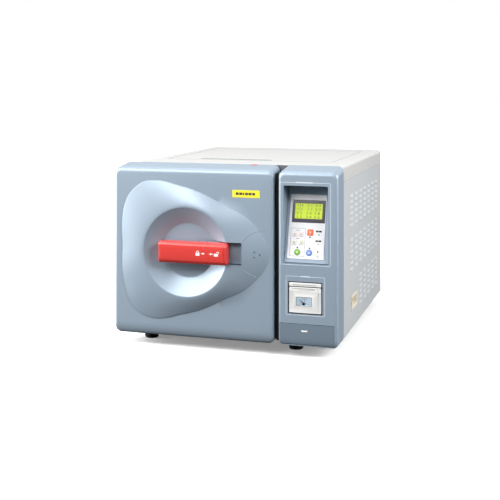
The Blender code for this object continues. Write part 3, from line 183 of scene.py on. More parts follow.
# Satin ABS with a slight metallic flake: a broad soft gloss over an even mould grain.
# A real grain is about 0.2 mm wide; it is drawn at 1.2 mm so that it shows.
satin_abs = surface("satin_moulded_abs", "99A9B8", 0.41, 0.30, tint=0.02, IOR=1.53)

# Every piece is drawn from the bench point: the door's left side, face and underside.
column_low, column_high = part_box("control_column")
door_low, door_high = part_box("door_cover")
bench = Vector((door_low.x, column_low.y, column_low.z))


def bench_box(node):
    """A CAD node's lowest and highest corners, seen from the bench point."""
    low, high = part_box(node)
    return low - bench, high - bench


door_width, door_depth = door_high.x - door_low.x, door_high.y - bench.y
body_height, front_depth = column_high.z - bench.z, column_high.y - bench.y
plastic_wall = 0.003
top_roll, top_fall = 0.012, 0.008
corner_radius = 0.013
axis_x, axis_z = 0.172, 0.191              # the dish's axis
dish_rim, dish_floor, dish_proud, dish_deep = 0.0975, 0.060, 0.015, 0.008
channel_end, channel_half = 0.301, 0.025


def link_mesh(name, solid, material, sharp=30.0):
    """Turn a bmesh drawn from the bench point into an object whose place is in its mesh."""
    bmesh.ops.translate(solid, verts=solid.verts, vec=bench)
    mesh = bpy.data.meshes.new(name)
    solid.to_mesh(mesh)
    solid.free()
    mesh.materials.append(material)
    mesh.shade_smooth()
    mesh.set_sharp_from_angle(angle=math.radians(sharp))
    return link(bpy.data.objects.new(name, mesh))


def fixed(piece, body, slot, *replaced):
    """Hang a piece on the body that carries it and hide the CAD nodes it stands for; slot is not
    used.
    """
    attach(piece, body)
    if replaced:
        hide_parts(*replaced)
    return piece


def placed(name, solid, material, body, slot, *replaced):
    return fixed(link_mesh(name, solid, material), body, slot, *replaced)


def loft(rings, start="cap", end="cap"):
    """A skin through rings of equally many points; an end is a cap, a point or open."""
    solid = bmesh.new()
    loops = [[solid.verts.new(point) for point in ring] for ring in rings]
    count = len(loops[0])
    for near, far in zip(loops, loops[1:]):
        for i in range(count):
            j = (i + 1) % count
            solid.faces.new((near[i], near[j], far[j], far[i]))
    for loop, style in ((loops[0], start), (loops[-1], end)):
        if style == "cap":
            solid.faces.new(loop)
        elif style != "open":
            tip = solid.verts.new(style)
            for i in range(count):
                solid.faces.new((loop[i], loop[(i + 1) % count], tip))
    bmesh.ops.recalc_face_normals(solid, faces=solid.faces)
    return solid


def frame_ring(x0, x1, z0, z1, radius, across=1, upright=1, corner=6):
    """A rounded rectangle as (x, z) points, in the same number and order every time."""
    corners = ((x1 - radius, z1 - radius), (x0 + radius, z1 - radius),
               (x0 + radius, z0 + radius), (x1 - radius, z0 + radius))
    points = []
    for number, (cx, cz) in enumerate(corners):
        for i in range(corner + 1):
            angle = math.radians(90 * (number + i / corner))
            points.append((cx + radius * math.cos(angle), cz + radius * math.sin(angle)))
        angle = math.radians(90 * (number + 1))
        nx, nz = corners[(number + 1) % 4]
        ahead = (nx + radius * math.cos(angle), nz + radius * math.sin(angle))
        last = points[-1]
        steps = across if number % 2 == 0 else upright
        for i in range(1, steps):
            share = i / steps
            points.append((last[0] + (ahead[0] - last[0]) * share,
                           last[1] + (ahead[1] - last[1]) * share))
    return points


def front_rings(x0, x1, undercut, side_roll, depth, steps=8, **counts):
    """Rings of a front shell, from its flat face round the rolled edges to its back rim."""
    deep, high = undercut
    shoulder = body_height - top_fall * (1 - top_roll / front_depth)
    outer = frame_ring(x0, x1, 0.0, shoulder, corner_radius, **counts)
    rolls = []
    for x, z in outer:
        near = [max(0.0, 1 - gap / corner_radius) ** 2
                for gap in (x - x0, x1 - x, shoulder - z, z)]
        sizes = (side_roll, side_roll, top_roll, deep)
        rolls.append(sum(n * size for n, size in zip(near, sizes)) / sum(near))
    rings = []
    for k in range(steps + 1):
        angle = math.radians(90 * k / steps)
        inset = 1 - math.sin(angle)
        ring = frame_ring(x0 + side_roll * inset, x1 - side_roll * inset, high * inset,
                          shoulder - top_roll * inset, corner_radius - 0.003 * inset, **counts)
        rings.append([Vector((x, roll * (1 - math.cos(angle)), z))
                      for (x, z), roll in zip(ring, rolls)])
    edge = rings[-1]
    for share in (0.25, 0.5, 0.75, 1.0):
        top = shoulder + (body_height - shoulder) * share * depth / front_depth
        ring = frame_ring(x0, x1, 0.0, top, corner_radius, **counts)
        rings.append([Vector((x, start.y + (depth - start.y) * share, z))
                      for (x, z), start in zip(ring, edge)])
    return rings


egg_outline = ((0.361, 0.190), (0.326, 0.252), (0.250, 0.297), (0.163, 0.331), (0.090, 0.343),
               (0.066, 0.338), (0.032, 0.306), (0.019, 0.201), (0.023, 0.118), (0.043, 0.065),
               (0.083, 0.041), (0.163, 0.053), (0.250, 0.087), (0.317, 0.124))


def egg_radius(angle):
    """Distance from the dish's axis to the swelling's outline, by a smooth closed curve."""
    polar = sorted((math.atan2(z - axis_z, x - axis_x) % math.tau,
                    math.hypot(x - axis_x, z - axis_z)) for x, z in egg_outline)
    around = [(a - math.tau, r) for a, r in polar[-2:]] + polar
    around += [(a + math.tau, r) for a, r in polar[:2]]
    angle %= math.tau
    k = next(i for i in range(1, len(around)) if around[i + 1][0] > angle)
    (a0, r0), (a1, r1), (a2, r2), (a3, r3) = around[k - 1:k + 3]
    step = a2 - a1
    t = (angle - a1) / step
    slope_1, slope_2 = (r2 - r0) / (a2 - a0) * step, (r3 - r1) / (a3 - a1) * step
    return ((2 * t ** 3 - 3 * t ** 2 + 1) * r1 + (t ** 3 - 2 * t ** 2 + t) * slope_1
            + (3 * t ** 2 - 2 * t ** 3) * r2 + (t ** 3 - t ** 2) * slope_2)


crest = dish_rim + 0.003                   # the narrow flat land round the dish


def swelling_y(share, angle):
    """Front of the swelling, from its outline (share 0) to the land round the dish (1)."""
    step = 0.13 * (1 - max(0.0, math.cos(angle)) ** 3)
    return -dish_proud * (step + (1 - step) * (1 - (1 - share) ** 1.35))


def circle(x, z, radius, y, angles):
    """Points of an upright circle that faces the front."""
    return [Vector((x + radius * math.cos(a), y, z + radius * math.sin(a))) for a in angles]


def dish_ring(angles, radius, y):
    return circle(axis_x, axis_z, radius, y, angles)


def round_corner(before, corner, after, radius, steps=4):
    """Points that round off one corner of a profile in its plane."""
    corner = Vector(corner)
    back = (Vector(before) - corner).normalized()
    ahead = (Vector(after) - corner).normalized()
    half = back.angle(ahead) / 2
    centre = corner + (back + ahead).normalized() * radius / math.sin(half)
    first = corner + back * radius / math.tan(half) - centre
    last = corner + ahead * radius / math.tan(half) - centre
    turn = -first.angle_signed(last)
    return [centre + Matrix.Rotation(turn * i / steps, 2) @ first for i in range(steps + 1)]


def final_mesh(piece):
    """A plain copy of an object's mesh with its modifiers worked out."""
    bpy.context.view_layer.update()
    graph = bpy.context.evaluated_depsgraph_get()
    return bpy.data.meshes.new_from_object(piece.evaluated_get(graph))


def apply_modifiers(piece):
    old, result = piece.data, final_mesh(piece)
    piece.modifiers.clear()
    piece.data = result
    bpy.data.meshes.remove(old)
    return piece


def combine(piece, tool, operation="DIFFERENCE"):
    """Boolean of a piece with a bmesh tool drawn from the bench point."""
    other = link_mesh("tool", tool, piece.data.materials[0])
    modifier = piece.modifiers.new("combine", "BOOLEAN")
    modifier.operation = operation
    modifier.object = other
    apply_modifiers(piece)
    mesh = other.data
    bpy.data.objects.remove(other, do_unlink=True)
    bpy.data.meshes.remove(mesh)
    return piece


def taken(piece):
    """An object's mesh, drawn from the bench point again; the object itself is removed."""
    solid = bmesh.new()
    solid.from_mesh(piece.data)
    bmesh.ops.translate(solid, verts=solid.verts, vec=-bench)
    bpy.data.objects.remove(piece, do_unlink=True)
    return solid


def block(x0, x1, y0, y1, z0, z1):
    solid = bmesh.new()
    middle = Vector(((x0 + x1) / 2, (y0 + y1) / 2, (z0 + z1) / 2))
    size = Matrix.Diagonal((x1 - x0, y1 - y0, z1 - z0, 1.0))
    bmesh.ops.create_cube(solid, size=1.0, matrix=Matrix.Translation(middle) @ size)
    return solid


def panel(x0, x1, y0, y1, z0, z1, radius, edge=0.0):
    """A plate with rounded corners; edge rounds off its front, or y0, side."""
    rings = []
    for k in range(4 if edge else 1):
        angle = math.radians(30 * k)
        inset = edge * (1 - math.sin(angle))
        ring = frame_ring(x0 + inset, x1 - inset, z0 + inset, z1 - inset,
                          max(radius - inset, radius * 0.3))
        rings.append([Vector((x, y0 + edge * (1 - math.cos(angle)), z)) for x, z in ring])
    rings.append([Vector((x, y1, z)) for x, z in frame_ring(x0, x1, z0, z1, radius)])
    return loft(rings)


def full_circle(count):
    """Equal angles all the way round."""
    return [math.tau * k / count for k in range(count)]


def tube(points, radius, sides=10):
    """A round bar along points that lie close to the door's face."""
    rings = []
    for i, point in enumerate(points):
        along = (points[min(i + 1, len(points) - 1)] - points[max(i - 1, 0)]).normalized()
        side = along.cross(Vector((0, 1, 0))).normalized()
        out = along.cross(side)
        rings.append([point + radius * (side * math.cos(a) + out * math.sin(a))
                      for a in full_circle(sides)])
    return loft(rings)


door_rings = front_rings(0.0, door_width, (0.010, 0.026), 0.004, door_depth,
                         across=72, upright=64, corner=8)
angles = [math.atan2(p.z - axis_z, p.x - axis_x) for p in door_rings[0]]
edges = [egg_radius(a) for a in angles]
rings = [dish_ring(angles, radius, dish_deep) for radius in (0.02, 0.045)]
profile = round_corner((0, dish_deep), (dish_floor, dish_deep), (dish_rim, -dish_proud), 0.008)
profile += round_corner((dish_floor, dish_deep), (dish_rim, -dish_proud), (crest, -dish_proud),
                        0.0016)
rings += [dish_ring(angles, radius, y) for radius, y in profile]
for share in (1.0, 0.96, 0.92, 0.86, 0.78, 0.7, 0.6, 0.5, 0.4, 0.3, 0.2, 0.12, 0.06, 0.02, 0.0):
    rings.append([Vector((axis_x + radius * math.cos(a), swelling_y(share, a),
                          axis_z + radius * math.sin(a)))
                  for a, radius in ((a, e + (crest - e) * share) for a, e in zip(angles, edges))])
for lift, out in ((0.7, 0.0002), (0.25, 0.0005), (0.0, 0.0012)):
    rings.append([Vector((axis_x + (e + out) * math.cos(a), swelling_y(0.0, a) * lift,
                          axis_z + (e + out) * math.sin(a))) for a, e in zip(angles, edges)])
foot_of_egg = rings[-1]
for share in (0.25, 0.5, 0.75):
    rings.append([a.lerp(b, share) for a, b in zip(foot_of_egg, door_rings[0])])
rings += door_rings
inner_top = body_height - top_fall - plastic_wall
inside = frame_ring(plastic_wall, door_width - plastic_wall, 0.014, inner_top, 0.010,
                    across=72, upright=64, corner=8)
inner_front = dish_deep + plastic_wall + 0.0005
rings.append([Vector((x, door_depth, z)) for x, z in inside])
rings.append([Vector((x, inner_front, z)) for x, z in inside])
rings.append(dish_ring(angles, 0.080, inner_front))
front_tip = Vector((axis_x, dish_deep, axis_z))
back_tip = Vector((axis_x, inner_front, axis_z))
door_shell = link_mesh("door_shell", loft(rings, front_tip, back_tip), satin_abs)

# The handle's channel runs right from the dish; its post goes through a slot in the floor.
combine(door_shell, panel(axis_x + 0.02, channel_end, -0.05, 0.0085, axis_z - channel_half,
                          axis_z + channel_half, 0.004))
slot_low, slot_high = 0.178, 0.233
combine(door_shell, panel(slot_low, slot_high, -0.05, 0.05, axis_z - 0.0085, axis_z + 0.0085,
                          0.003))
tab = sum(bench_box("release_button"), Vector()) / 2
half_tab, half_deep = 0.0071, 0.0026
combine(door_shell, block(tab.x - half_tab, tab.x + half_tab, tab.y - half_deep,
                          tab.y + half_deep, 0.355, 0.400))

# A shallow groove curves away from the channel's end, above and below.
groove_x, groove_radius = 0.3455, 0.0495
for start, stop in ((86, 147), (213, 260)):
    path = []
    for i in range(25):
        turn = math.radians(start + (stop - start) * i / 24)
        x = groove_x + groove_radius * math.cos(turn)
        z = axis_z + groove_radius * math.sin(turn)
        away = math.atan2(z - axis_z, x - axis_x)
        edge = egg_radius(away)
        share = (edge - math.hypot(x - axis_x, z - axis_z)) / (edge - crest)
        y = swelling_y(share, away) if share > 0 else 0.0
        path.append(Vector((x, y, z)))
    combine(door_shell, tube(path, 0.0009))

# Three pin-sized dimples mark the locked end of the handle's travel.
pin = 0.0016
for x, z in ((0.328, 0.197), (0.340, 0.191), (0.328, 0.185)):
    combine(door_shell, panel(x - pin, x + pin, -0.02, -0.0006, z - pin, z + pin, 0.0015))
door_shell.data.shade_smooth()
door_shell.data.set_sharp_from_angle(angle=math.radians(30.0))
fixed(door_shell, "door", "blue_grey_plastic", "door_cover")

# ---------------------------------------------------------------- channel floor
# A separate moulded slide plate closes the channel's outer end.  A gap of 1.8 mm round
# it reads as a dark outline.
margin = 0.0018
slide_plate = panel(slot_high + 0.002, channel_end - margin, 0.0012, 0.0079,
                    axis_z - channel_half + margin, axis_z + channel_half - margin, 0.0025, 0.0006)
placed("channel_plate", slide_plate, satin_abs, "door", "blue_grey_plastic")

# ---------------------------------------------------------------- yellow film
# A strip of printed yellow polyester film, stuck on the door above the handle.  Its
# print is left plain: a row of short dark bars.
yellow_film = surface("yellow_polyester_film", "F2E23A", 0.45, tint=0.02, depth=0.00001)
film = panel(0.2765, 0.3385, -0.00025, 0.0003, 0.3125, 0.3285, 0.001)
placed("yellow_film", film, yellow_film, "door", "blue_grey_plastic")
dark_ink = surface("dark_screen_ink", "3A3A36", 0.5, tint=0.05, depth=0.000005)


def merged(solids):
    """Several bmeshes as one; the parts are used up."""
    whole = bmesh.new()
    for solid in solids:
        mesh = bpy.data.meshes.new("part")
        solid.to_mesh(mesh)
        solid.free()
        whole.from_mesh(mesh)
        bpy.data.meshes.remove(mesh)
    bmesh.ops.recalc_face_normals(whole, faces=whole.faces)
    return whole


def bars(name, material, body, slot, rows, y0, y1):
    """Printed bars: each row is (left edge, right edge, low, high)."""
    solids = [block(x0, x1, y0, y1, z0, z1) for x0, x1, z0, z1 in rows]
    return placed(name, merged(solids), material, body, slot)


wide, narrow = 0.0065, 0.003
marks = [(x, x + length, 0.3180, 0.3232)
         for x, length in ((0.2845, wide), (0.2925, wide), (0.3005, narrow), (0.3055, wide),
                           (0.3135, wide), (0.3215, wide))]
bars("yellow_film_print", dark_ink, "door", "blue_grey_plastic", marks, -0.00040, -0.0002)

# ---------------------------------------------------------------- release tab
# A small red button in the door's upper edge, moulded in glossy ABS.
gloss_red = surface("gloss_red_abs", "D2403B", 0.27, tint=0.03, depth=0.00001, IOR=1.53)


def soften(piece, width, angle=40.0, segments=2, sharp=35.0):
    """Merge the flats, round every edge sharper than the angle and even the shading."""
    solid = bmesh.new()
    solid.from_mesh(piece.data)
    bmesh.ops.remove_doubles(solid, verts=solid.verts, dist=1e-5)
    bmesh.ops.dissolve_limit(solid, angle_limit=math.radians(0.5), verts=solid.verts,
                             edges=solid.edges)
    solid.to_mesh(piece.data)
    solid.free()
    bevel = piece.modifiers.new("edges", "BEVEL")
    bevel.width = width
    bevel.segments = segments
    bevel.limit_method = "ANGLE"
    bevel.angle_limit = math.radians(angle)
    apply_modifiers(piece)
    piece.data.shade_smooth()
    piece.data.set_sharp_from_angle(angle=math.radians(sharp))
    even = piece.modifiers.new("even", "WEIGHTED_NORMAL")
    even.keep_sharp = True
    return apply_modifiers(piece)


def dressed(node, material, width, name, body, slot, **how):
    """Stand in for a CAD node: its mesh with the flats merged and the edges rounded."""
    mesh = bpy.data.objects[node].data.copy()
    mesh.materials.clear()
    mesh.materials.append(material)
    piece = soften(link(bpy.data.objects.new(name, mesh)), width, **how)
    return fixed(piece, body, slot, node)


dressed("release_button", gloss_red, 0.0007, "release_tab", "release", "red_plastic")

# ---------------------------------------------------------------- handle
# A thick bar of glossy red ABS with sloping upper and lower edges and a cast lip at its
# right end.  Two padlocks and two arrows are printed on it in white.
grip_low, grip_high = bench_box("handle_grip")
bevel_high, slope = 0.0065, 0.0042
levels = [(0.0008, -0.0040), (0.0, -0.0048)]
levels += [tuple(p) for p in round_corner((0.0, -0.010), (0.0, grip_low.y + slope + 0.0012),
                                          (bevel_high, grip_low.y + 0.0010), 0.0022, 4)]
levels += [tuple(p) for p in round_corner((0.0, grip_low.y + slope + 0.0012),
                                          (bevel_high, grip_low.y + 0.0010),
                                          (bevel_high * 2.2, grip_low.y + 0.0004), 0.0026, 3)]
levels += [(bevel_high * 1.8, grip_low.y + 0.0004), (bevel_high * 2.6, grip_low.y)]
rings = []
for inset, y in levels:
    side = inset * 0.34
    ring = frame_ring(grip_low.x + side, grip_high.x - side, grip_low.z + inset,
                      grip_high.z - inset, 0.0045 - min(inset * 0.3, 0.002), across=24, upright=6)
    rings.append([Vector((x, y, z)) for x, z in ring])
handle = link_mesh("handle", loft(rings), gloss_red, 28.0)
post = panel(0.1805, 0.2045, -0.006, 0.0136, 0.184, 0.198, 0.002)
combine(handle, post, "UNION")
lip = 0.0052
combine(handle, block(grip_high.x - lip - 0.0010, grip_high.x - lip, grip_low.y - 0.001,
                      grip_low.y + 0.0013, 0.150, 0.230))
handle.data.shade_smooth()
handle.data.set_sharp_from_angle(angle=math.radians(28.0))
fixed(handle, "handle", "red_plastic", "handle_grip")

white_ink = surface("white_pad_print", "F6F4F2", 0.5, tint=0.02, depth=0.000005)
print_front, print_back = grip_low.y - 0.00012, grip_low.y + 0.0012


def sheet_of(outline, y0, y1):
    return loft([[Vector((x, y, z)) for x, z in outline] for y in (y0, y1)])


def padlock(x, z, size, opened):
    """Body, shackle and keyhole of a padlock sign, as separate thin plates."""
    solids = [sheet_of(frame_ring(x - size / 2, x + size / 2, z - size * 0.55, z + size * 0.15,
                                  size * 0.1), print_front, print_back)]
    shackle = []
    for radius, turns in ((size * 0.36, range(0, 181, 20)), (size * 0.22, range(180, -1, -20))):
        for turn in turns:
            a = math.radians(turn)
            shackle.append((x + (size * 0.42 if opened else 0) + radius * math.cos(a),
                            z + size * 0.25 + radius * math.sin(a) * 1.1))
    foot = z + size * 0.1
    shackle.insert(0, (shackle[0][0], foot))
    shackle.append((shackle[-1][0], foot))
    middle = len(shackle) // 2
    low = z + (size * 0.28 if opened else size * 0.1)
    left_outer, left_inner = shackle[middle - 1], shackle[middle]
    shackle[middle:middle] = [(left_outer[0], low), (left_inner[0], low)]
    solids.append(sheet_of(shackle, print_front, print_back))
    return solids


def arrow(x, z, length, way):
    half = length * 0.28
    outline = [(x, z + half * 0.35), (x + way * length * 0.5, z + half * 0.35),
               (x + way * length * 0.5, z + half), (x + way * length, z),
               (x + way * length * 0.5, z - half), (x + way * length * 0.5, z - half * 0.35),
               (x, z - half * 0.35)]
    return [sheet_of(outline, print_front, print_back)]


sign_z = axis_z + 0.001
signs = padlock(0.2065, sign_z, 0.0090, False) + arrow(0.2145, sign_z, 0.0085, 1)
signs += arrow(0.2415, sign_z, 0.0085, -1) + padlock(0.2485, sign_z, 0.0090, True)
placed("handle_print", merged(signs), white_ink, "handle", "red_plastic")

# ---------------------------------------------------------------- control column
# The tall housing right of the door, moulded in the same satin ABS.  It has a deep
# recess for the keypad, a bay for the printer and a shallow bay behind the drain flap.
column_left, column_right = column_low.x - bench.x, column_high.x - bench.x
recess_left, recess_right, recess_low, recess_high = 0.391, 0.488, 0.176, 0.3415
printer_left, printer_right, printer_low, printer_high = 0.403, 0.474, 0.071, 0.136
flap_left, flap_right, flap_low, flap_high = 0.383, 0.501, 0.004, 0.0475
flap_seat = 0.0036
rings = front_rings(column_left, column_right, (0.006, 0.008), 0.0065, front_depth)
column = link_mesh("column_shell", loft(rings), satin_abs)
hollow = link_mesh("hollow", block(column_left + plastic_wall, column_right - plastic_wall,
                                   0.0115, 0.07, plastic_wall, inner_top), satin_abs)
wells = ((recess_left, recess_right, recess_low, recess_high, front_depth),
         (printer_left - 0.002, printer_right + 0.002, printer_low - 0.002,
          printer_high + 0.002, 0.050),
         (flap_left + 0.002, flap_right - 0.002, flap_low + 0.002, flap_high - 0.002, 0.047))
for x0, x1, z0, z1, deep in wells:
    wall = plastic_wall
    combine(hollow, block(x0 - wall, x1 + wall, -0.01, deep, z0 - wall, z1 + wall))
combine(column, taken(hollow))
for x0, x1, z0, z1, deep in wells[:2]:
    combine(column, panel(x0, x1, -0.01, 0.07, z0, z1, 0.0025))
x0, x1, z0, z1, deep = wells[2]
combine(column, block(x0, x1, -0.01, deep - plastic_wall, z0, z1))
combine(column, block(flap_left - 0.0006, flap_right + 0.0006, -0.01, flap_seat, -0.01,
                      flap_high + 0.0011))
knob_z, knob_hole = 0.024, 0.0064
for x in (0.413, 0.471):
    combine(column, loft([circle(x, knob_z, knob_hole, y, full_circle(32))
                          for y in (0.03, 0.07)]))
soften(column, 0.0009, angle=50.0, segments=2, sharp=30.0)
fixed(column, "cabinet", "blue_grey_plastic", "control_column")

# The gap between the door and the column is filled by a black strip in the black rubber finish; it
# is painted shade, standing in for the dark deep in the gap.
black_rubber = surface("moulded_black_rubber", "0C0C0D", 0.75, tint=0.08, uneven=0.06,
                       grain=0.001, depth=0.00004, IOR=1.52)
strip = panel(door_width + 0.0022, column_left - 0.0002, 0.016, front_depth - 0.001, 0.006,
              0.366, 0.002)
placed("gap_strip", strip, black_rubber, "cabinet", "black_rubber")

# ---------------------------------------------------------------- printed frames
# Fine pale lines are screen-printed round the keypad and the printer.
pale_ink = surface("pale_screen_ink", "D5DEE6", 0.5, tint=0.02, depth=0.000005)


def outline_print(x0, x1, z0, z1, radius, thick, y0, y1):
    """A rounded frame as thin as printing, closed all round."""
    outer = frame_ring(x0, x1, z0, z1, radius)
    inner = frame_ring(x0 + thick, x1 - thick, z0 + thick, z1 - thick, radius - thick)
    rings = [[Vector((x, y, z)) for x, z in ring]
             for ring, y in ((outer, y1), (outer, y0), (inner, y0), (inner, y1))]
    solid = loft(rings, "open", "open")
    edges = [edge for edge in solid.edges if edge.is_boundary]
    bmesh.ops.bridge_loops(solid, edges=edges)
    bmesh.ops.recalc_face_normals(solid, faces=solid.faces)
    return solid


lines = [outline_print(0.3835, 0.4940, 0.1730, 0.3487, 0.003, 0.0009, -0.00012, 0.0004),
         outline_print(0.3965, 0.4815, 0.0665, 0.1495, 0.003, 0.0009, -0.00012, 0.0004),
         sheet_of(frame_ring(0.4180, 0.4560, 0.3473, 0.3496, 0.001), -0.00013, 0.0004),
         sheet_of(frame_ring(0.4290, 0.4490, 0.1481, 0.1504, 0.001), -0.00013, 0.0004)]
placed("printed_frames", merged(lines), pale_ink, "cabinet", "blue_grey_plastic")

# ---------------------------------------------------------------- keypad
# A tilted ABS plate carries a printed polyester overlay, a character display behind a
# dark window and seven domed keys that press small switches.
tilt = math.radians(15.0)
clear, plate_thick = 0.0004, 0.004
keypad_low = recess_low + clear + plate_thick * math.sin(tilt)
keypad_tall = (recess_high - clear - keypad_low) / math.cos(tilt)
up = Vector((0, math.sin(tilt), math.cos(tilt)))
out = Vector((0, -math.cos(tilt), math.sin(tilt)))
on_plate = Matrix.Translation(Vector((recess_left + clear, 0.003, keypad_low)))
on_plate @= Matrix((Vector((1, 0, 0)), up, out)).transposed().to_4x4()
overlay_left, overlay_low, overlay_wide, overlay_tall = 0.006, 0.0083, 0.080, 0.138
overlay_top = overlay_low + overlay_tall
film_front = 0.0008


def flat_plate(x0, x1, y0, y1, z0, z1, radius, edge=0.0):
    """A rounded plate in the keypad's frame: x right, y up the plate, z out of it."""
    rings = [[Vector((x, y, z0)) for x, y in frame_ring(x0, x1, y0, y1, radius)]]
    for k in range(4 if edge else 1):
        turn = math.radians(30 * k)
        inset = edge * (1 - math.cos(turn))
        ring = frame_ring(x0 + inset, x1 - inset, y0 + inset, y1 - inset,
                          max(radius - inset, radius * 0.3))
        rings.append([Vector((x, y, z1 - edge * (1 - math.sin(turn)))) for x, y in ring])
    return loft(rings)


def disc(x, y, radius, z0, z1, edge=0.0, sides=40):
    """A round plate or key in the keypad's frame, with a rounded upper edge."""
    levels = [(radius, z0)]
    for k in range(4 if edge else 1):
        turn = math.radians(30 * k)
        levels.append((radius - edge * (1 - math.cos(turn)), z1 - edge * (1 - math.sin(turn))))
    return loft([[Vector((x + r * math.cos(a), y + r * math.sin(a), z))
                  for a in full_circle(sides)] for r, z in levels])


def keypad_piece(name, solid, material, body, slot, *replaced):
    bmesh.ops.transform(solid, matrix=on_plate, verts=solid.verts)
    return placed(name, solid, material, body, slot, *replaced)


def over(from_left, from_top):
    """A place on the overlay, given from its upper left corner."""
    return overlay_left + from_left, overlay_top - from_top


pale_abs = surface("light_grey_abs", "93A2B2", 0.40, tint=0.02, IOR=1.53)
plate_wide = recess_right - recess_left - 2 * clear
window = (0.0056, 0.0788, 0.0119, 0.0609)
x0, y1 = over(window[0], window[2])
x1, y0 = over(window[1], window[3])
# Each key: its middle from the overlay's upper left corner, its size, colour and finish.
keys = {"wrapped": (0.0142, 0.0858, 0.009, "E6D9D6", "pale_key"),
        "unwrapped": (0.0285, 0.0858, 0.009, "E6D9D6", "pale_key"),
        "liquids": (0.0140, 0.1032, 0.009, "DEDFCF", "grey_key"),
        "dry": (0.0291, 0.1032, 0.009, "DEDFCF", "grey_key"),
        "cycle": (0.0480, 0.0813, 0.0125, "F2683A", "orange_key"),
        "start": (0.0217, 0.1240, 0.013, "78AA35", "green_key"),
        "stop": (0.0477, 0.1243, 0.013, "6685C8", "blue_key")}
round_keys = ("start", "stop")


def key_shape(name, grow, z0, z1, edge=0.0):
    left, top, size = keys[name][:3]
    x, y = over(left, top)
    half = size / 2 + grow
    if name in round_keys:
        return disc(x, y, half, z0, z1, edge)
    return flat_plate(x - half, x + half, y - half, y + half, z0, z1, 0.0014 + grow, edge)


def keypad_cuts():
    """The display window and the key holes, as one tool."""
    holes = [flat_plate(x0, x1, y0, y1, -0.02, 0.02, 0.0008)]
    holes += [key_shape(name, 0.0004, -0.02, 0.02) for name in keys]
    whole = merged(holes)
    bmesh.ops.transform(whole, matrix=on_plate, verts=whole.verts)
    return whole


plate = keypad_piece("keypad_base", flat_plate(0.0, plate_wide, 0.0, keypad_tall, -plate_thick,
                                               0.0, 0.001, 0.0006),
                     pale_abs, "cabinet", "blue_grey_plastic", "keypad_plate")
combine(plate, keypad_cuts())
plate.data.shade_flat()
white_film = surface("white_polyester_overlay", "E2E2E5", 0.38, tint=0.01, grain=0.0008,
                     depth=0.00001, IOR=1.6)
overlay = keypad_piece("keypad_overlay",
                       flat_plate(overlay_left, overlay_left + overlay_wide, overlay_low,
                                  overlay_top, 0.0001, film_front, 0.002, 0.0003),
                       white_film, "cabinet", "white_film")
combine(overlay, keypad_cuts())
overlay.data.shade_flat()

# The display: a tinted window in a dark surround, with a lit yellow-green screen that
# shows rows of plain numbers.
tinted = surface("tinted_acrylic_window", "443D4B", 0.16, tint=0.03, depth=0.000003, IOR=1.49)
gap = 0.0004
surround = flat_plate(x0 + gap, x1 - gap, y0 + gap, y1 - gap, -0.005, film_front, 0.0008, 0.0003)
surround = keypad_piece("display_surround", surround, tinted, "cabinet", "lcd_surround",
                        "lcd_module")
screen = (0.0112, 0.0720, 0.0190, 0.0523)
sx0, sy1 = over(screen[0], screen[2])
sx1, sy0 = over(screen[1], screen[3])
opening = flat_plate(sx0, sx1, sy0, sy1, -0.0012, 0.01, 0.0005)
bmesh.ops.transform(opening, matrix=on_plate, verts=opening.verts)
combine(surround, opening)
surround.data.shade_flat()
lit_screen = surface("lit_character_display", "C3DA1E", 0.3, tint=0.03, cloud=0.02, depth=0.000003,
                     Emission_Color=linear("C6DC20"), Emission_Strength=0.18)
keypad_piece("display_screen", flat_plate(sx0 + 0.0002, sx1 - 0.0002, sy0 + 0.0002, sy1 - 0.0002,
                                          -0.0012, -0.0004, 0.0005),
             lit_screen, "cabinet", "lcd_surround")
crystal = surface("liquid_crystal_digits", "56701A", 0.4, tint=0.05, depth=0.000003)


def number_row(text, x, y, height, z0, z1):
    """A row of digits in the keypad's frame, as thin plates."""
    curve = bpy.data.curves.new("digits", "FONT")
    curve.body = text
    curve.size = height
    curve.space_character = 1.15
    curve.extrude = (z1 - z0) / 2
    curve.resolution_u = 2
    letters = link(bpy.data.objects.new("digits", curve))
    mesh = final_mesh(letters)
    solid = bmesh.new()
    solid.from_mesh(mesh)
    bmesh.ops.remove_doubles(solid, verts=solid.verts, dist=1e-6)
    bmesh.ops.translate(solid, verts=solid.verts, vec=(x, y, (z0 + z1) / 2))
    bmesh.ops.recalc_face_normals(solid, faces=solid.faces)
    bpy.data.objects.remove(letters, do_unlink=True)
    bpy.data.curves.remove(curve)
    bpy.data.meshes.remove(mesh)
    return solid


row_pitch = (sy1 - sy0) / 4
rows = [number_row(text, sx0 + 0.0042, sy1 - row_pitch * (i + 0.86), 0.0082, -0.00045, -0.00025)
        for i, text in enumerate(("134   2 1  0 6", "121   1 1  2 0", "0 5   3 0  1 8",
                                  "1 2   3 4  5 6"))]
keypad_piece("display_digits", merged(rows), crystal, "cabinet", "lcd_surround")

# The keys: domed polyester caps, each in its own colour.
key_front = film_front + 0.0010
for name, (left, top, size, colour, finish) in keys.items():
    cap = surface(name + "_key_polyester", colour, 0.36, tint=0.02, depth=0.00001)
    keypad_piece(name + "_cap", key_shape(name, 0.0, key_front - 0.0036, key_front, 0.0005), cap,
                 "button_" + name, finish, "key_" + name)


def bar(x, y, wide, high, turn=0.0, level=film_front):
    """A printed bar in the keypad's frame, turned by degrees in its plane."""
    solid = flat_plate(-wide / 2, wide / 2, -high / 2, high / 2, level - 0.0002, level + 0.0001,
                       min(wide, high) * 0.3)
    move = Matrix.Translation((x, y, 0)) @ Matrix.Rotation(math.radians(turn), 4, "Z")
    bmesh.ops.transform(solid, matrix=move, verts=solid.verts)
    return solid


brown_ink = surface("brown_screen_ink", "5A4844", 0.5, tint=0.05, depth=0.000005)
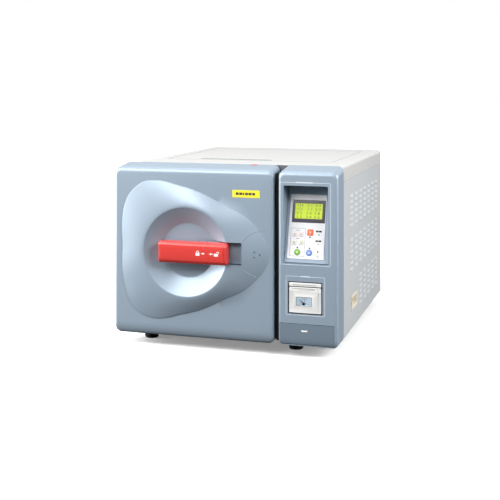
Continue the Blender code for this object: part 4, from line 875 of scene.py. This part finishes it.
# The two strokes of each key's sign: offsets from the key's middle, and a turn.
strokes = {"wrapped": ((0, 0, 45), (0, 0, -45)), "unwrapped": ((0, 0, 0), (0, 0, 90)),
           "liquids": ((0, -0.0012, 0), (0, 0.0012, 0)),
           "dry": ((-0.0012, 0, 90), (0.0012, 0, 90)),
           "cycle": ((0, 0.0011, 0), (0, -0.0011, 90)),
           "start": ((0, 0.0011, 30), (0, -0.0011, -30)),
           "stop": ((0, 0.0011, 0), (0, -0.0011, 0))}
for name, pair in strokes.items():
    from_left, from_top, size, colour, finish = keys[name]
    x, y = over(from_left, from_top)
    pale = finish in ("pale_key", "grey_key")
    long, thick, ink = (0.0046, 0.0009, brown_ink) if pale else (0.0052, 0.0008, white_ink)
    shapes = [bar(x + dx, y + dy, long, thick, turn, key_front) for dx, dy, turn in pair]
    keypad_piece(name + "_sign", merged(shapes), ink, "button_" + name, finish)

# Printed signs between the keys: thin frames, lamp dots and short bars.
grey_ink = surface("grey_screen_ink", "8C8C8E", 0.5, tint=0.04, depth=0.000005)
black_ink = surface("black_screen_ink", "1C1C1E", 0.45, tint=0.04, depth=0.000005)
left, low = over(0.0055, 0.1325)
right, high = over(0.0372, 0.0731)
thin = 0.0008
frame_bars = [bar((left + right) / 2, low, right - left, thin),
              bar((left + right) / 2, high, right - left, thin),
              bar(left, (low + high) / 2, thin, high - low),
              bar(right, (low + high) / 2, thin, high - low)]
for from_left, from_top, wide, high, turn in (
        (0.0214, 0.0775, 0.0090, 0.0014, 0), (0.0214, 0.0950, 0.0090, 0.0014, 0),
        (0.0670, 0.0855, 0.0030, 0.0030, 45), (0.0670, 0.1055, 0.0030, 0.0030, 45),
        (0.0667, 0.1300, 0.0060, 0.0012, 0), (0.0667, 0.1324, 0.0060, 0.0012, 0)):
    frame_bars.append(bar(*over(from_left, from_top), wide, high, turn))
keypad_piece("overlay_lines", merged(frame_bars), grey_ink, "cabinet", "white_film")
dots = [disc(*over(*place), 0.0018, film_front - 0.0002, film_front + 0.0002)
        for place in ((0.0480, 0.0912), (0.0216, 0.1142), (0.0484, 0.1150), (0.0667, 0.1215))]
dots += [bar(*over(from_left, from_top), wide, 0.0036) for from_top in (0.0785, 0.0990)
         for from_left, wide in ((0.0632, 0.0056), (0.0698, 0.0062))]
keypad_piece("overlay_dots", merged(dots), black_ink, "cabinet", "white_film")

# The circuit board behind the plate: glass-fibre laminate under green solder mask.
green_board = surface("green_solder_mask", "1E5B3A", 0.35, tint=0.12, cloud=0.006, grain=0.0015,
                      depth=0.00003, IOR=1.55)
dressed("control_board", green_board, 0.0002, "keypad_board", "cabinet", "circuit_board")

# ---------------------------------------------------------------- printer
# A small thermal printer: a white ABS cover hinged at its lower edge, with a tear bar
# above it, a paper roll and a rubber platen behind it, and a feed button.
white_abs = surface("white_moulded_abs", "E0E0DE", 0.36, tint=0.01, IOR=1.53)
cover_low, cover_high = bench_box("printer_cover")
cover = link_mesh("printer_lid", panel(cover_low.x, cover_high.x, cover_low.y, cover_high.y,
                                       cover_low.z, cover_high.z, 0.0022, 0.0007), white_abs)
glass_left, glass_right = cover_low.x + 0.0150, cover_low.x + 0.0495
glass_low, glass_high = cover_low.z + 0.0150, cover_low.z + 0.0340
combine(cover, panel(glass_left, glass_right, -0.01, 0.0010, glass_low, glass_high, 0.0012))
button = sum(bench_box("printer_button"), Vector()) / 2


def button_hole(half=0.0028):
    """The round hole in which the feed button sits, as a tool."""
    return panel(button.x - half, button.x + half, -0.01, 0.01, button.z - half,
                 button.z + half, half * 0.98)


combine(cover, button_hole())
combine(cover, block(cover_high.x - 0.0070, cover_high.x - 0.0062, -0.01, 0.0007,
                     cover_low.z + 0.004, cover_high.z + 0.01))
combine(cover, block(cover_low.x - 0.01, cover_high.x + 0.01, -0.01, 0.0006,
                     cover_high.z - 0.0085, cover_high.z - 0.0077))
soften(cover, 0.0002, angle=50.0)
cover.data.shade_flat()
fixed(cover, "printer_door", "white_film", "printer_cover")
tinted_blue = surface("pale_blue_acrylic", "AFC3D2", 0.18, tint=0.04, depth=0.000003, IOR=1.49)
pane = panel(glass_left + 0.0003, glass_right - 0.0003, 0.0006, 0.0012, glass_low + 0.0003,
             glass_high - 0.0003, 0.001)
pane = link_mesh("printer_pane", pane, tinted_blue)
combine(pane, button_hole())
fixed(pane, "printer_door", "white_film")
rim = outline_print(glass_left, glass_right, glass_low, glass_high, 0.0012, 0.0007, 0.00035, 0.0008)
placed("pane_rim", rim, dark_ink, "printer_door", "white_film")
middle_x, middle_z = (glass_left + glass_right) / 2, (glass_low + glass_high) / 2 + 0.0022
roll_sign = [outline_print(middle_x - 0.0060, middle_x + 0.0020, middle_z - 0.0042,
                           middle_z + 0.0042, 0.0039, 0.0011, 0.00045, 0.0007),
             sheet_of(frame_ring(middle_x - 0.0020, middle_x + 0.0075, middle_z + 0.0030,
                                 middle_z + 0.0042, 0.0004), 0.00045, 0.0007)]
placed("paper_roll_sign", merged(roll_sign), grey_ink, "printer_door", "white_film")
top_marks = [(cover_low.x + 0.006, cover_high.x - 0.014, cover_high.z - 0.0032,
              cover_high.z - 0.0022),
             (cover_low.x + 0.020, cover_high.x - 0.014, cover_high.z - 0.0056,
              cover_high.z - 0.0048)]
bars("printer_lid_print", grey_ink, "printer_door", "white_film", top_marks, -0.00008, 0.0003)
black_abs = surface("matt_black_abs", "15161A", 0.5, tint=0.06, grain=0.001, depth=0.00003,
                    IOR=1.53)
rings = [circle(button.x, button.z, radius, y, full_circle(28))
         for radius, y in ((0.0024, 0.0034), (0.0024, -0.0005), (0.0020, -0.0008))]
placed("feed_key", loft(rings), black_abs, "feed_button", "black_plastic", "printer_button")
housing_low, housing_high = bench_box("printer_housing")
casing = block(housing_low.x, housing_high.x, 0.0042, housing_high.y, housing_low.z,
               housing_high.z)
casing = link_mesh("printer_casing", casing, black_abs)
combine(casing, block(printer_left, printer_right, -0.01, 0.050, printer_low, printer_high))
soften(casing, 0.0003)
fixed(casing, "cabinet", "black_plastic", "printer_housing")
tear = panel(printer_left + 0.0004, printer_right - 0.0004, 0.0002, 0.0036,
             cover_high.z + 0.0019, printer_high - 0.0004, 0.0016, 0.0006)
placed("tear_bar", tear, white_abs, "cabinet", "white_film")
bars("tear_bar_print", grey_ink, "cabinet", "white_film",
     [(printer_left + 0.008, printer_right - 0.012, cover_high.z + 0.0045, cover_high.z + 0.0056)],
     0.0001, 0.0006)
paper = surface("thermal_paper", "F5F4EE", 0.85, tint=0.02, cloud=0.01, grain=0.0006,
                depth=0.00002)
dressed("paper_roll", paper, 0.0004, "paper_coil", "paper", "thermal_paper")
dressed("platen_roller", black_rubber, 0.0003, "platen", "platen", "black_rubber")

# ---------------------------------------------------------------- drain flap
# A curved ABS flap folds down over the two drain valves; a small pale arrow marks where
# to press it.  The valves are turned brass with moulded knobs.
outline = [(0.0030, flap_high), (0.0, flap_high), (0.0, 0.020)]
outline += [(0.0021 * (1 - math.cos(math.radians(a))), 0.020 - 0.0158 * math.sin(math.radians(a)))
            for a in (20, 40, 60, 80)]
outline += [(0.0030, flap_low), (0.0030, 0.012)]
flap = loft([[Vector((x, y, z)) for y, z in outline] for x in (flap_left, flap_right)])
# The flap's ABS is the door's satin ABS made darker: painted shade on the flap.
flap_abs_with_painted_shade = surface("satin_abs_painted_flap_shade", "8191A0", 0.40, 0.35, tint=0.02, IOR=1.53)
flap = soften(link_mesh("drain_cover", flap, flap_abs_with_painted_shade), 0.0005)
fixed(flap, "flap", "blue_grey_plastic", "drain_flap")
# Black strips in the gaps above and right of the flap are painted shade, the dark of the gaps.
flap_gap_shades = [block(flap_left, flap_right, 0.0006, 0.0030, flap_high + 0.0001, flap_high + 0.0011),
         block(flap_right + 0.00005, flap_right + 0.0007, 0.0006, 0.0030, 0.012, flap_high)]
placed("flap_seam", merged(flap_gap_shades), black_abs, "cabinet", "black_plastic")
arrow_mark = [(0.4300, 0.0350), (0.4308, 0.0320), (0.4432, 0.0320), (0.4440, 0.0350)]
press = sheet_of(arrow_mark, -0.0001, 0.0004)
placed("flap_mark", press, white_ink, "flap", "blue_grey_plastic")
brass = surface("machined_brass", "C09A4A", 0.28, 1.0, tint=0.05, grain=0.0008, depth=0.00002,
                stretch=(1.0, 0.15, 1.0))
for side, colour in (("clean", "3C6FB4"), ("used", "B8433C")):
    dressed("drain_valve_" + side, brass, 0.0004, side + "_water_valve", "cabinet", "brass")
    knob_abs = surface(side + "_knob_abs", colour, 0.35, tint=0.04, IOR=1.53)
    slot = "blue_knob" if side == "clean" else "red_knob"
    dressed("drain_knob_" + side, knob_abs, 0.0007, side + "_water_knob", "knob_" + side, slot,
            segments=3)

# ---------------------------------------------------------------- sheet-steel housing
# The cabinet is folded from 1.5 mm steel with a pale grey powder coat.  The side covers
# carry groups of pressed louvres; the base pan closes it from below.
powder_grey = surface("pale_grey_powder_coat", "BCC0C2", 0.42, tint=0.012, cloud=0.3,
                      grain=0.0016, depth=0.00003, IOR=1.52)
# The dark strips in the louvres' openings, in slot_shadow, are painted shade.
slot_shadow = surface("painted_louvre_shade", "3A3D3F", 0.7, tint=0.05, grain=0.001)
dressed("base_pan", powder_grey, 0.0004, "floor_pan", "cabinet", "pale_grey_paint")
side_high = bench_box("side_cover_right")[1]
left_side = bench_box("side_cover_left")[0].x
for name in ("side_cover_left", "side_cover_right"):
    dressed(name, powder_grey, 0.0005, name.replace("cover", "sheet"), "cabinet",
            "pale_grey_paint")

# One Geometry Nodes tree lays copies of a template on a grid, in the template's own
# frame: X along the rows, Y up the columns, Z away from the panel.
grid_tree = bpy.data.node_groups.new("copies_on_a_grid", "GeometryNodeTree")
given = {}
for label, kind in (("Geometry", "Geometry"), ("Template", "Object"), ("Columns", "Int"),
                    ("Rows", "Int"), ("Column Pitch", "Float"), ("Row Pitch", "Float"),
                    ("Material", "Material")):
    given[label] = grid_tree.interface.new_socket(label, in_out="INPUT",
                                                  socket_type="NodeSocket" + kind).identifier
grid_tree.interface.new_socket("Geometry", in_out="OUTPUT", socket_type="NodeSocketGeometry")
asked = add_node(grid_tree, "NodeGroupInput").outputs
spans = []
for count, pitch in (("Columns", "Column Pitch"), ("Rows", "Row Pitch")):
    gaps = add_node(grid_tree, "ShaderNodeMath", {0: asked[count], 1: 1.0}, operation="SUBTRACT")
    spans.append(add_node(grid_tree, "ShaderNodeMath", {0: gaps.outputs[0], 1: asked[pitch]},
                          operation="MULTIPLY").outputs[0])
places = add_node(grid_tree, "GeometryNodeMeshGrid",
                  {"Size X": spans[0], "Size Y": spans[1], "Vertices X": asked["Columns"],
                   "Vertices Y": asked["Rows"]})
shape = add_node(grid_tree, "GeometryNodeObjectInfo", {"Object": asked["Template"]})
copies = add_node(grid_tree, "GeometryNodeInstanceOnPoints",
                  {"Points": places.outputs["Mesh"], "Instance": shape.outputs["Geometry"]})
real = add_node(grid_tree, "GeometryNodeRealizeInstances", {"Geometry": copies.outputs[0]})
dyed = add_node(grid_tree, "GeometryNodeSetMaterial",
                {"Geometry": real.outputs[0], "Material": asked["Material"]})
add_node(grid_tree, "NodeGroupOutput", {"Geometry": dyed.outputs[0]})
facing = {"right": (90, 0, 90), "left": (90, 0, -90), "rear": (90, 0, 180)}


def copies_on(side, middle, template, material, columns, rows, column_pitch, row_pitch):
    """A grid of copies of a template on one side of the object, as one solid."""
    mesh = bpy.data.meshes.new("template")
    template.to_mesh(mesh)
    template.free()
    source = link(bpy.data.objects.new("template", mesh))
    holder = link(bpy.data.objects.new("grid", bpy.data.meshes.new("grid")))
    grid = holder.modifiers.new("grid", "NODES")
    grid.node_group = grid_tree
    values = (("Template", source), ("Columns", columns), ("Rows", rows),
              ("Column Pitch", column_pitch), ("Row Pitch", row_pitch), ("Material", material))
    for label, value in values:
        grid[given[label]] = value
    result = final_mesh(holder)
    solid = bmesh.new()
    solid.from_mesh(result)
    holder.modifiers.remove(grid)
    for thing in (source, holder):
        bpy.data.objects.remove(thing, do_unlink=True)
    bpy.data.meshes.remove(result)
    turn = Euler([math.radians(a) for a in facing[side]]).to_matrix().to_4x4()
    bmesh.ops.transform(solid, matrix=Matrix.Translation(middle) @ turn, verts=solid.verts)
    return solid


louvre_long, louvre_high, louvre_proud = 0.034, 0.0068, 0.0020
mouth_long = 0.029


def louvre_hood():
    """One pressed louvre: a low hood that opens downwards, flat at both ends."""
    rings = []
    for k in range(9):
        share = -1 + k / 4
        swell = max(1 - share ** 4, 0.02)
        x = share * louvre_long / 2
        half = louvre_high / 2
        outline = ((half, -0.0006), (half, 0.0), (0.0, louvre_proud * 0.62 * swell),
                   (-half * 0.7, louvre_proud * swell), (-half, louvre_proud * 0.86 * swell),
                   (-half, -0.0006))
        rings.append([Vector((x, y, z)) for y, z in outline])
    return loft(rings)


def painted_louvre_shade():
    """Painted shade: a dark strip in the opening under a hood."""
    half = louvre_high / 2
    end, low, high = mouth_long / 2, -half - 0.0007, -half + 0.001
    outline = ((-end, low), (end, low), (end, high), (-end, high))
    return loft([[Vector((x, y, z)) for x, y in outline] for z in (-0.0005, 0.00012)])


row_pitch_louvres, column_pitch_louvres = 0.0132, 0.0565
groups = ((7, 0.178, 0.303), (7, 0.178, 0.203), (5, 0.291, 0.103))
for side, x in (("right", side_high.x), ("left", left_side)):
    for what, material, make in (("louvres", powder_grey, louvre_hood),
                                 ("louvre_mouths", slot_shadow, painted_louvre_shade)):
        fields = []
        for columns, y_first, z_top in groups:
            middle = (x, y_first + column_pitch_louvres * (columns - 1) / 2,
                      z_top - row_pitch_louvres * 2.5)
            fields.append(copies_on(side, middle, make(), material, columns, 6,
                                    column_pitch_louvres, row_pitch_louvres))
        placed(f"{what}_{side}", merged(fields), material, "cabinet", "pale_grey_paint")

# The carrying grip: a cream ABS cup pressed into a cut-out near the right cover's foot.
cream_abs = surface("cream_moulded_abs", "E2DACA", 0.42, tint=0.02, IOR=1.53)
dressed("side_grip", cream_abs, 0.0007, "grip_cup", "cabinet", "cream_plastic", segments=3)

# Four moulded rubber feet, screwed into the base pan.
for side in ("left", "right"):
    for end in ("front", "rear"):
        foot = f"foot_{end}_{side}"
        dressed(foot, black_rubber, 0.0012, foot + "_rubber", "cabinet", "black_rubber",
                segments=3)

# ---------------------------------------------------------------- top cover and tank lid
# The top is a white-painted steel cover with rounded side bends; the lid in it opens the
# water tank and has a finger slot at its front edge.
white_enamel = surface("white_enamel", "C6C6C4", 0.38, tint=0.008, cloud=0.3, grain=0.0018,
                       depth=0.00002, IOR=1.52)
dressed("top_cover", white_enamel, 0.0004, "top_sheet", "cabinet", "white_paint")
dressed("tank_lid", white_enamel, 0.0008, "lid_sheet", "lid", "white_paint")
level = body_height
signs = [panel(0.0, 0.018, -0.0006, 0.0006, 0.0, 0.003, 0.0004),
         panel(0.0, 0.013, -0.0006, 0.0006, 0.0, 0.003, 0.0004)]
for solid, (x, y) in zip(signs, ((0.397, 0.242), (0.442, 0.216))):
    lay = Matrix.Translation((x, y, level - 0.0004))
    bmesh.ops.scale(solid, vec=(1.0, 1.0, 0.16), verts=solid.verts)
    bmesh.ops.transform(solid, matrix=lay, verts=solid.verts)
placed("top_marks", merged(signs), powder_grey, "cabinet", "white_paint")
lid_low, lid_high = bench_box("tank_lid")
# The grey strips in the seam round the lid and the grey lip at its front edge are painted shade:
# they stand in for the dark in the seam and in the finger slot.
seam_shade_grey = surface("grey_seam_painted_shade", "8E9698", 0.6, tint=0.03, cloud=0.02)
half_gap, seal_top = 0.0008, level + 0.0002
edges = [block(x - half_gap, x + half_gap, lid_low.y, lid_high.y, level - 0.001, seal_top)
         for x in (lid_low.x - 0.0004, lid_high.x + 0.0004)]
edges += [block(lid_low.x, lid_high.x, y - half_gap, y + half_gap, level - 0.001, seal_top)
          for y in (lid_low.y - 0.0004, lid_high.y + 0.0004)]
placed("lid_seal", merged(edges), seam_shade_grey, "cabinet", "white_paint")
finger_slot_shade = block(0.146, 0.319, lid_low.y + 0.0092, lid_low.y + 0.0122, level - 0.002,
                   level + 0.0016)
finger_slot_shade = soften(link_mesh("lid_finger_lip", finger_slot_shade, seam_shade_grey), 0.0004)
fixed(finger_slot_shade, "lid", "white_paint")
water_plastic = surface("translucent_polypropylene", "E9ECEC", 0.45, tint=0.02, IOR=1.49)
dressed("water_tank", water_plastic, 0.0008, "tank_tub", "cabinet", "white_film")

# ---------------------------------------------------------------- rear panel
# A flat powder-coated sheet with the fan, the mains inlet and the safety valve in it, held
# by a border of zinc-plated pan-head screws.
zinc_steel = surface("zinc_plated_steel", "A6ABAE", 0.34, 1.0, tint=0.06, cloud=0.02,
                     grain=0.002, depth=0.00002)
dressed("rear_panel", powder_grey, 0.0004, "rear_sheet", "cabinet", "pale_grey_paint")


def screw_head(radius=0.0032, height=0.0019):
    """A pan-head screw with a cross recess, standing on z = 0."""
    levels = ((1.0, -0.0005), (1.0, height * 0.35), (0.93, height * 0.72), (0.72, height * 0.94),
              (0.40, height))
    head = loft([[Vector((radius * r * math.cos(a), radius * r * math.sin(a), z))
                  for a in full_circle(20)] for r, z in levels])
    piece = link_mesh("screw", head, zinc_steel)
    half, thin = radius * 0.52, radius * 0.15
    for x, y in ((half, thin), (thin, half)):
        tool = block(-x, x, -y, y, height - 0.0009, height + 0.001)
        bmesh.ops.translate(tool, verts=tool.verts, vec=bench)
        combine(piece, tool)
    return taken(piece)


rear_face = side_high.y
rear_middle = ((side_high.x + left_side) / 2, rear_face, 0.190)
border = ((2, 4, 0.462, 0.110), (3, 2, 0.150, 0.352))   # columns, rows and their pitches
rear_screws = [copies_on("rear", rear_middle, screw_head(), zinc_steel, *layout)
               for layout in border]
placed("rear_screws", merged(rear_screws), zinc_steel, "cabinet", "zinc_plate")
for name, material, make in (("rear_louvres", powder_grey, louvre_hood),
                             ("rear_louvre_mouths", slot_shadow, painted_louvre_shade)):
    field = copies_on("rear", (0.110, rear_face, 0.120), make(), material, 2, 8, 0.048,
                      row_pitch_louvres)
    placed(name, field, material, "cabinet", "pale_grey_paint")
rating = panel(0.245, 0.325, rear_face - 0.0004, rear_face + 0.0006, 0.052, 0.100, 0.002, 0.0002)
brushed = surface("brushed_aluminium", "C3C6C8", 0.34, 1.0, tint=0.05, grain=0.0006,
                  depth=0.00001, stretch=(0.05, 1.0, 1.0))
placed("blank_plate", rating, brushed, "cabinet", "zinc_plate")

# The cooling fan: a black glass-filled frame and seven-bladed rotor behind a guard of
# plated wire rings.
fan_nylon = surface("glass_filled_nylon", "1B1C1E", 0.52, tint=0.08, grain=0.0009,
                    depth=0.00004, IOR=1.53)
dressed("fan_housing", fan_nylon, 0.0006, "fan_frame", "cabinet", "black_plastic")
dressed("fan_rotor", fan_nylon, 0.0005, "fan_blades", "fan", "black_plastic")
fan_middle = sum(bench_box("fan_rotor"), Vector()) / 2
wire = 0.0011


def hoop(centre, radius, wire, sides=8, steps=40):
    """A closed wire ring round the Y axis."""
    rings = []
    for k in range(steps + 1):
        a = math.tau * k / steps
        rings.append([centre + Vector((math.cos(a) * (radius + wire * math.cos(b)),
                                       wire * math.sin(b),
                                       math.sin(a) * (radius + wire * math.cos(b))))
                      for b in full_circle(sides)])
    solid = loft(rings, "open", "open")
    bmesh.ops.remove_doubles(solid, verts=solid.verts, dist=1e-6)
    bmesh.ops.recalc_face_normals(solid, faces=solid.faces)
    return solid


guard_y = rear_face + 0.006
guard_radii = (0.009, 0.016, 0.023, 0.030, 0.037, 0.044)
hub_radius, knee_radius, foot_radius = 0.008, 0.046, 0.053
guard_screws = 0.079                       # pitch of the four screws
guard = [hoop(Vector((fan_middle.x, guard_y, fan_middle.z)), radius, wire)
         for radius in guard_radii]
for a in (45, 135, 225, 315):
    along = Vector((math.cos(math.radians(a)), 0, math.sin(math.radians(a))))
    foot = Vector((fan_middle.x, rear_face + 0.0006, fan_middle.z)) + along * foot_radius
    knee = Vector((fan_middle.x, guard_y + wire * 1.4, fan_middle.z)) + along * knee_radius
    hub = Vector((fan_middle.x, guard_y + wire * 1.4, fan_middle.z)) + along * hub_radius
    guard.append(tube([hub, knee, foot], wire, 8))
guard.append(copies_on("rear", (fan_middle.x, rear_face, fan_middle.z), screw_head(0.0036),
                       zinc_steel, 2, 2, guard_screws, guard_screws))
placed("fan_guard", merged(guard), zinc_steel, "cabinet", "zinc_plate")

# The mains inlet with its lit rocker, and the brass safety valve above.
dressed("power_inlet", black_abs, 0.0004, "inlet_body", "cabinet", "black_plastic")
red_rocker = surface("red_translucent_rocker", "D8231F", 0.25, tint=0.03, IOR=1.49)
dressed("rocker_switch", red_rocker, 0.0005, "rocker", "rocker", "red_plastic")
dressed("safety_valve", brass, 0.0006, "relief_valve", "cabinet", "brass")

# ---------------------------------------------------------------- pressure chamber
# A deep-drawn stainless vessel with a dished end and a machined flange, let into a zinc
# plated bulkhead.  A wire rack carries three stainless trays.
drawn_steel = surface("drawn_stainless_steel", "C2C5C8", 0.26, 1.0, tint=0.04, cloud=0.05,
                      grain=0.0009, depth=0.00002, stretch=(1.0, 0.08, 1.0))
dressed("front_bulkhead", zinc_steel, 0.0004, "bulkhead", "cabinet", "zinc_plate")
dressed("chamber_vessel", drawn_steel, 0.0012, "vessel", "cabinet", "stainless_steel")
dressed("tray_rack", drawn_steel, 0.0008, "rack", "cabinet", "stainless_steel")
bright_steel = surface("polished_stainless_steel", "CFD2D4", 0.18, 1.0, tint=0.03, cloud=0.03,
                       grain=0.0008, depth=0.00001)
for number in (1, 2, 3):
    dressed(f"instrument_tray_{number}", bright_steel, 0.0004, f"tray_{number}", "cabinet",
            "stainless_steel")

# Round the vessel: a mica band heater and a jacket of foil-faced wool.
foil = surface("foil_faced_wool", "CDD0D2", 0.32, 0.7, tint=0.10, cloud=0.02, grain=0.006,
               depth=0.0006)
dressed("insulation_jacket", foil, 0.0015, "wool_jacket", "cabinet", "foil_faced_wool")
mica = surface("mica_band", "A08E72", 0.4, 0.3, tint=0.1, cloud=0.02, grain=0.002)
dressed("heater_band", mica, 0.0005, "band_heater", "cabinet", "zinc_plate")

# The machinery bay: a cast pump, a condenser coil and a brass valve block.
cast_grey = surface("cast_aluminium", "9EA3A6", 0.45, 1.0, tint=0.08, cloud=0.02, grain=0.001,
                    depth=0.00008)
for node, material, name, slot in (("vacuum_pump", cast_grey, "pump", "zinc_plate"),
                                   ("condenser", brass, "condenser_coil", "zinc_plate"),
                                   ("valve_manifold", brass, "valve_block", "brass")):
    dressed(node, material, 0.0008, name, "cabinet", slot)

# ---------------------------------------------------------------- door mechanism
# The door carries the pressure plate with its silicone gasket; a zinc-plated rack, pinion
# and bolt lock it when the handle slides.
zinc_dull = surface("zinc_plated_parts", "9DA2A6", 0.4, 1.0, tint=0.06, cloud=0.02,
                    grain=0.0015, depth=0.00002)
silicone = surface("moulded_silicone", "DAD7D0", 0.55, tint=0.03, cloud=0.02, grain=0.001,
                   depth=0.00002, IOR=1.43)
mechanism = (("door_back_cover", satin_abs, 0.0010, "door", "blue_grey_plastic", "inner_cover"),
             ("pressure_plate", drawn_steel, 0.0010, "door", "stainless_steel", "plate"),
             ("door_gasket", silicone, 0.0016, "door", "silicone", "gasket"),
             ("hinge_strap", zinc_dull, 0.0005, "door", "zinc_plate", "strap"),
             ("hinge_bracket", zinc_dull, 0.0005, "cabinet", "zinc_plate", "bracket"),
             ("handle_rack", zinc_dull, 0.0002, "handle", "zinc_plate", "rack_bar"),
             ("lock_pinion", zinc_dull, 0.0002, "pinion", "zinc_plate", "pinion_gear"),
             ("lock_bolt", zinc_dull, 0.0002, "bolt", "zinc_plate", "bolt_bar"))
for node, material, width, body, slot, name in mechanism:
    dressed(node, material, width, name, body, slot)
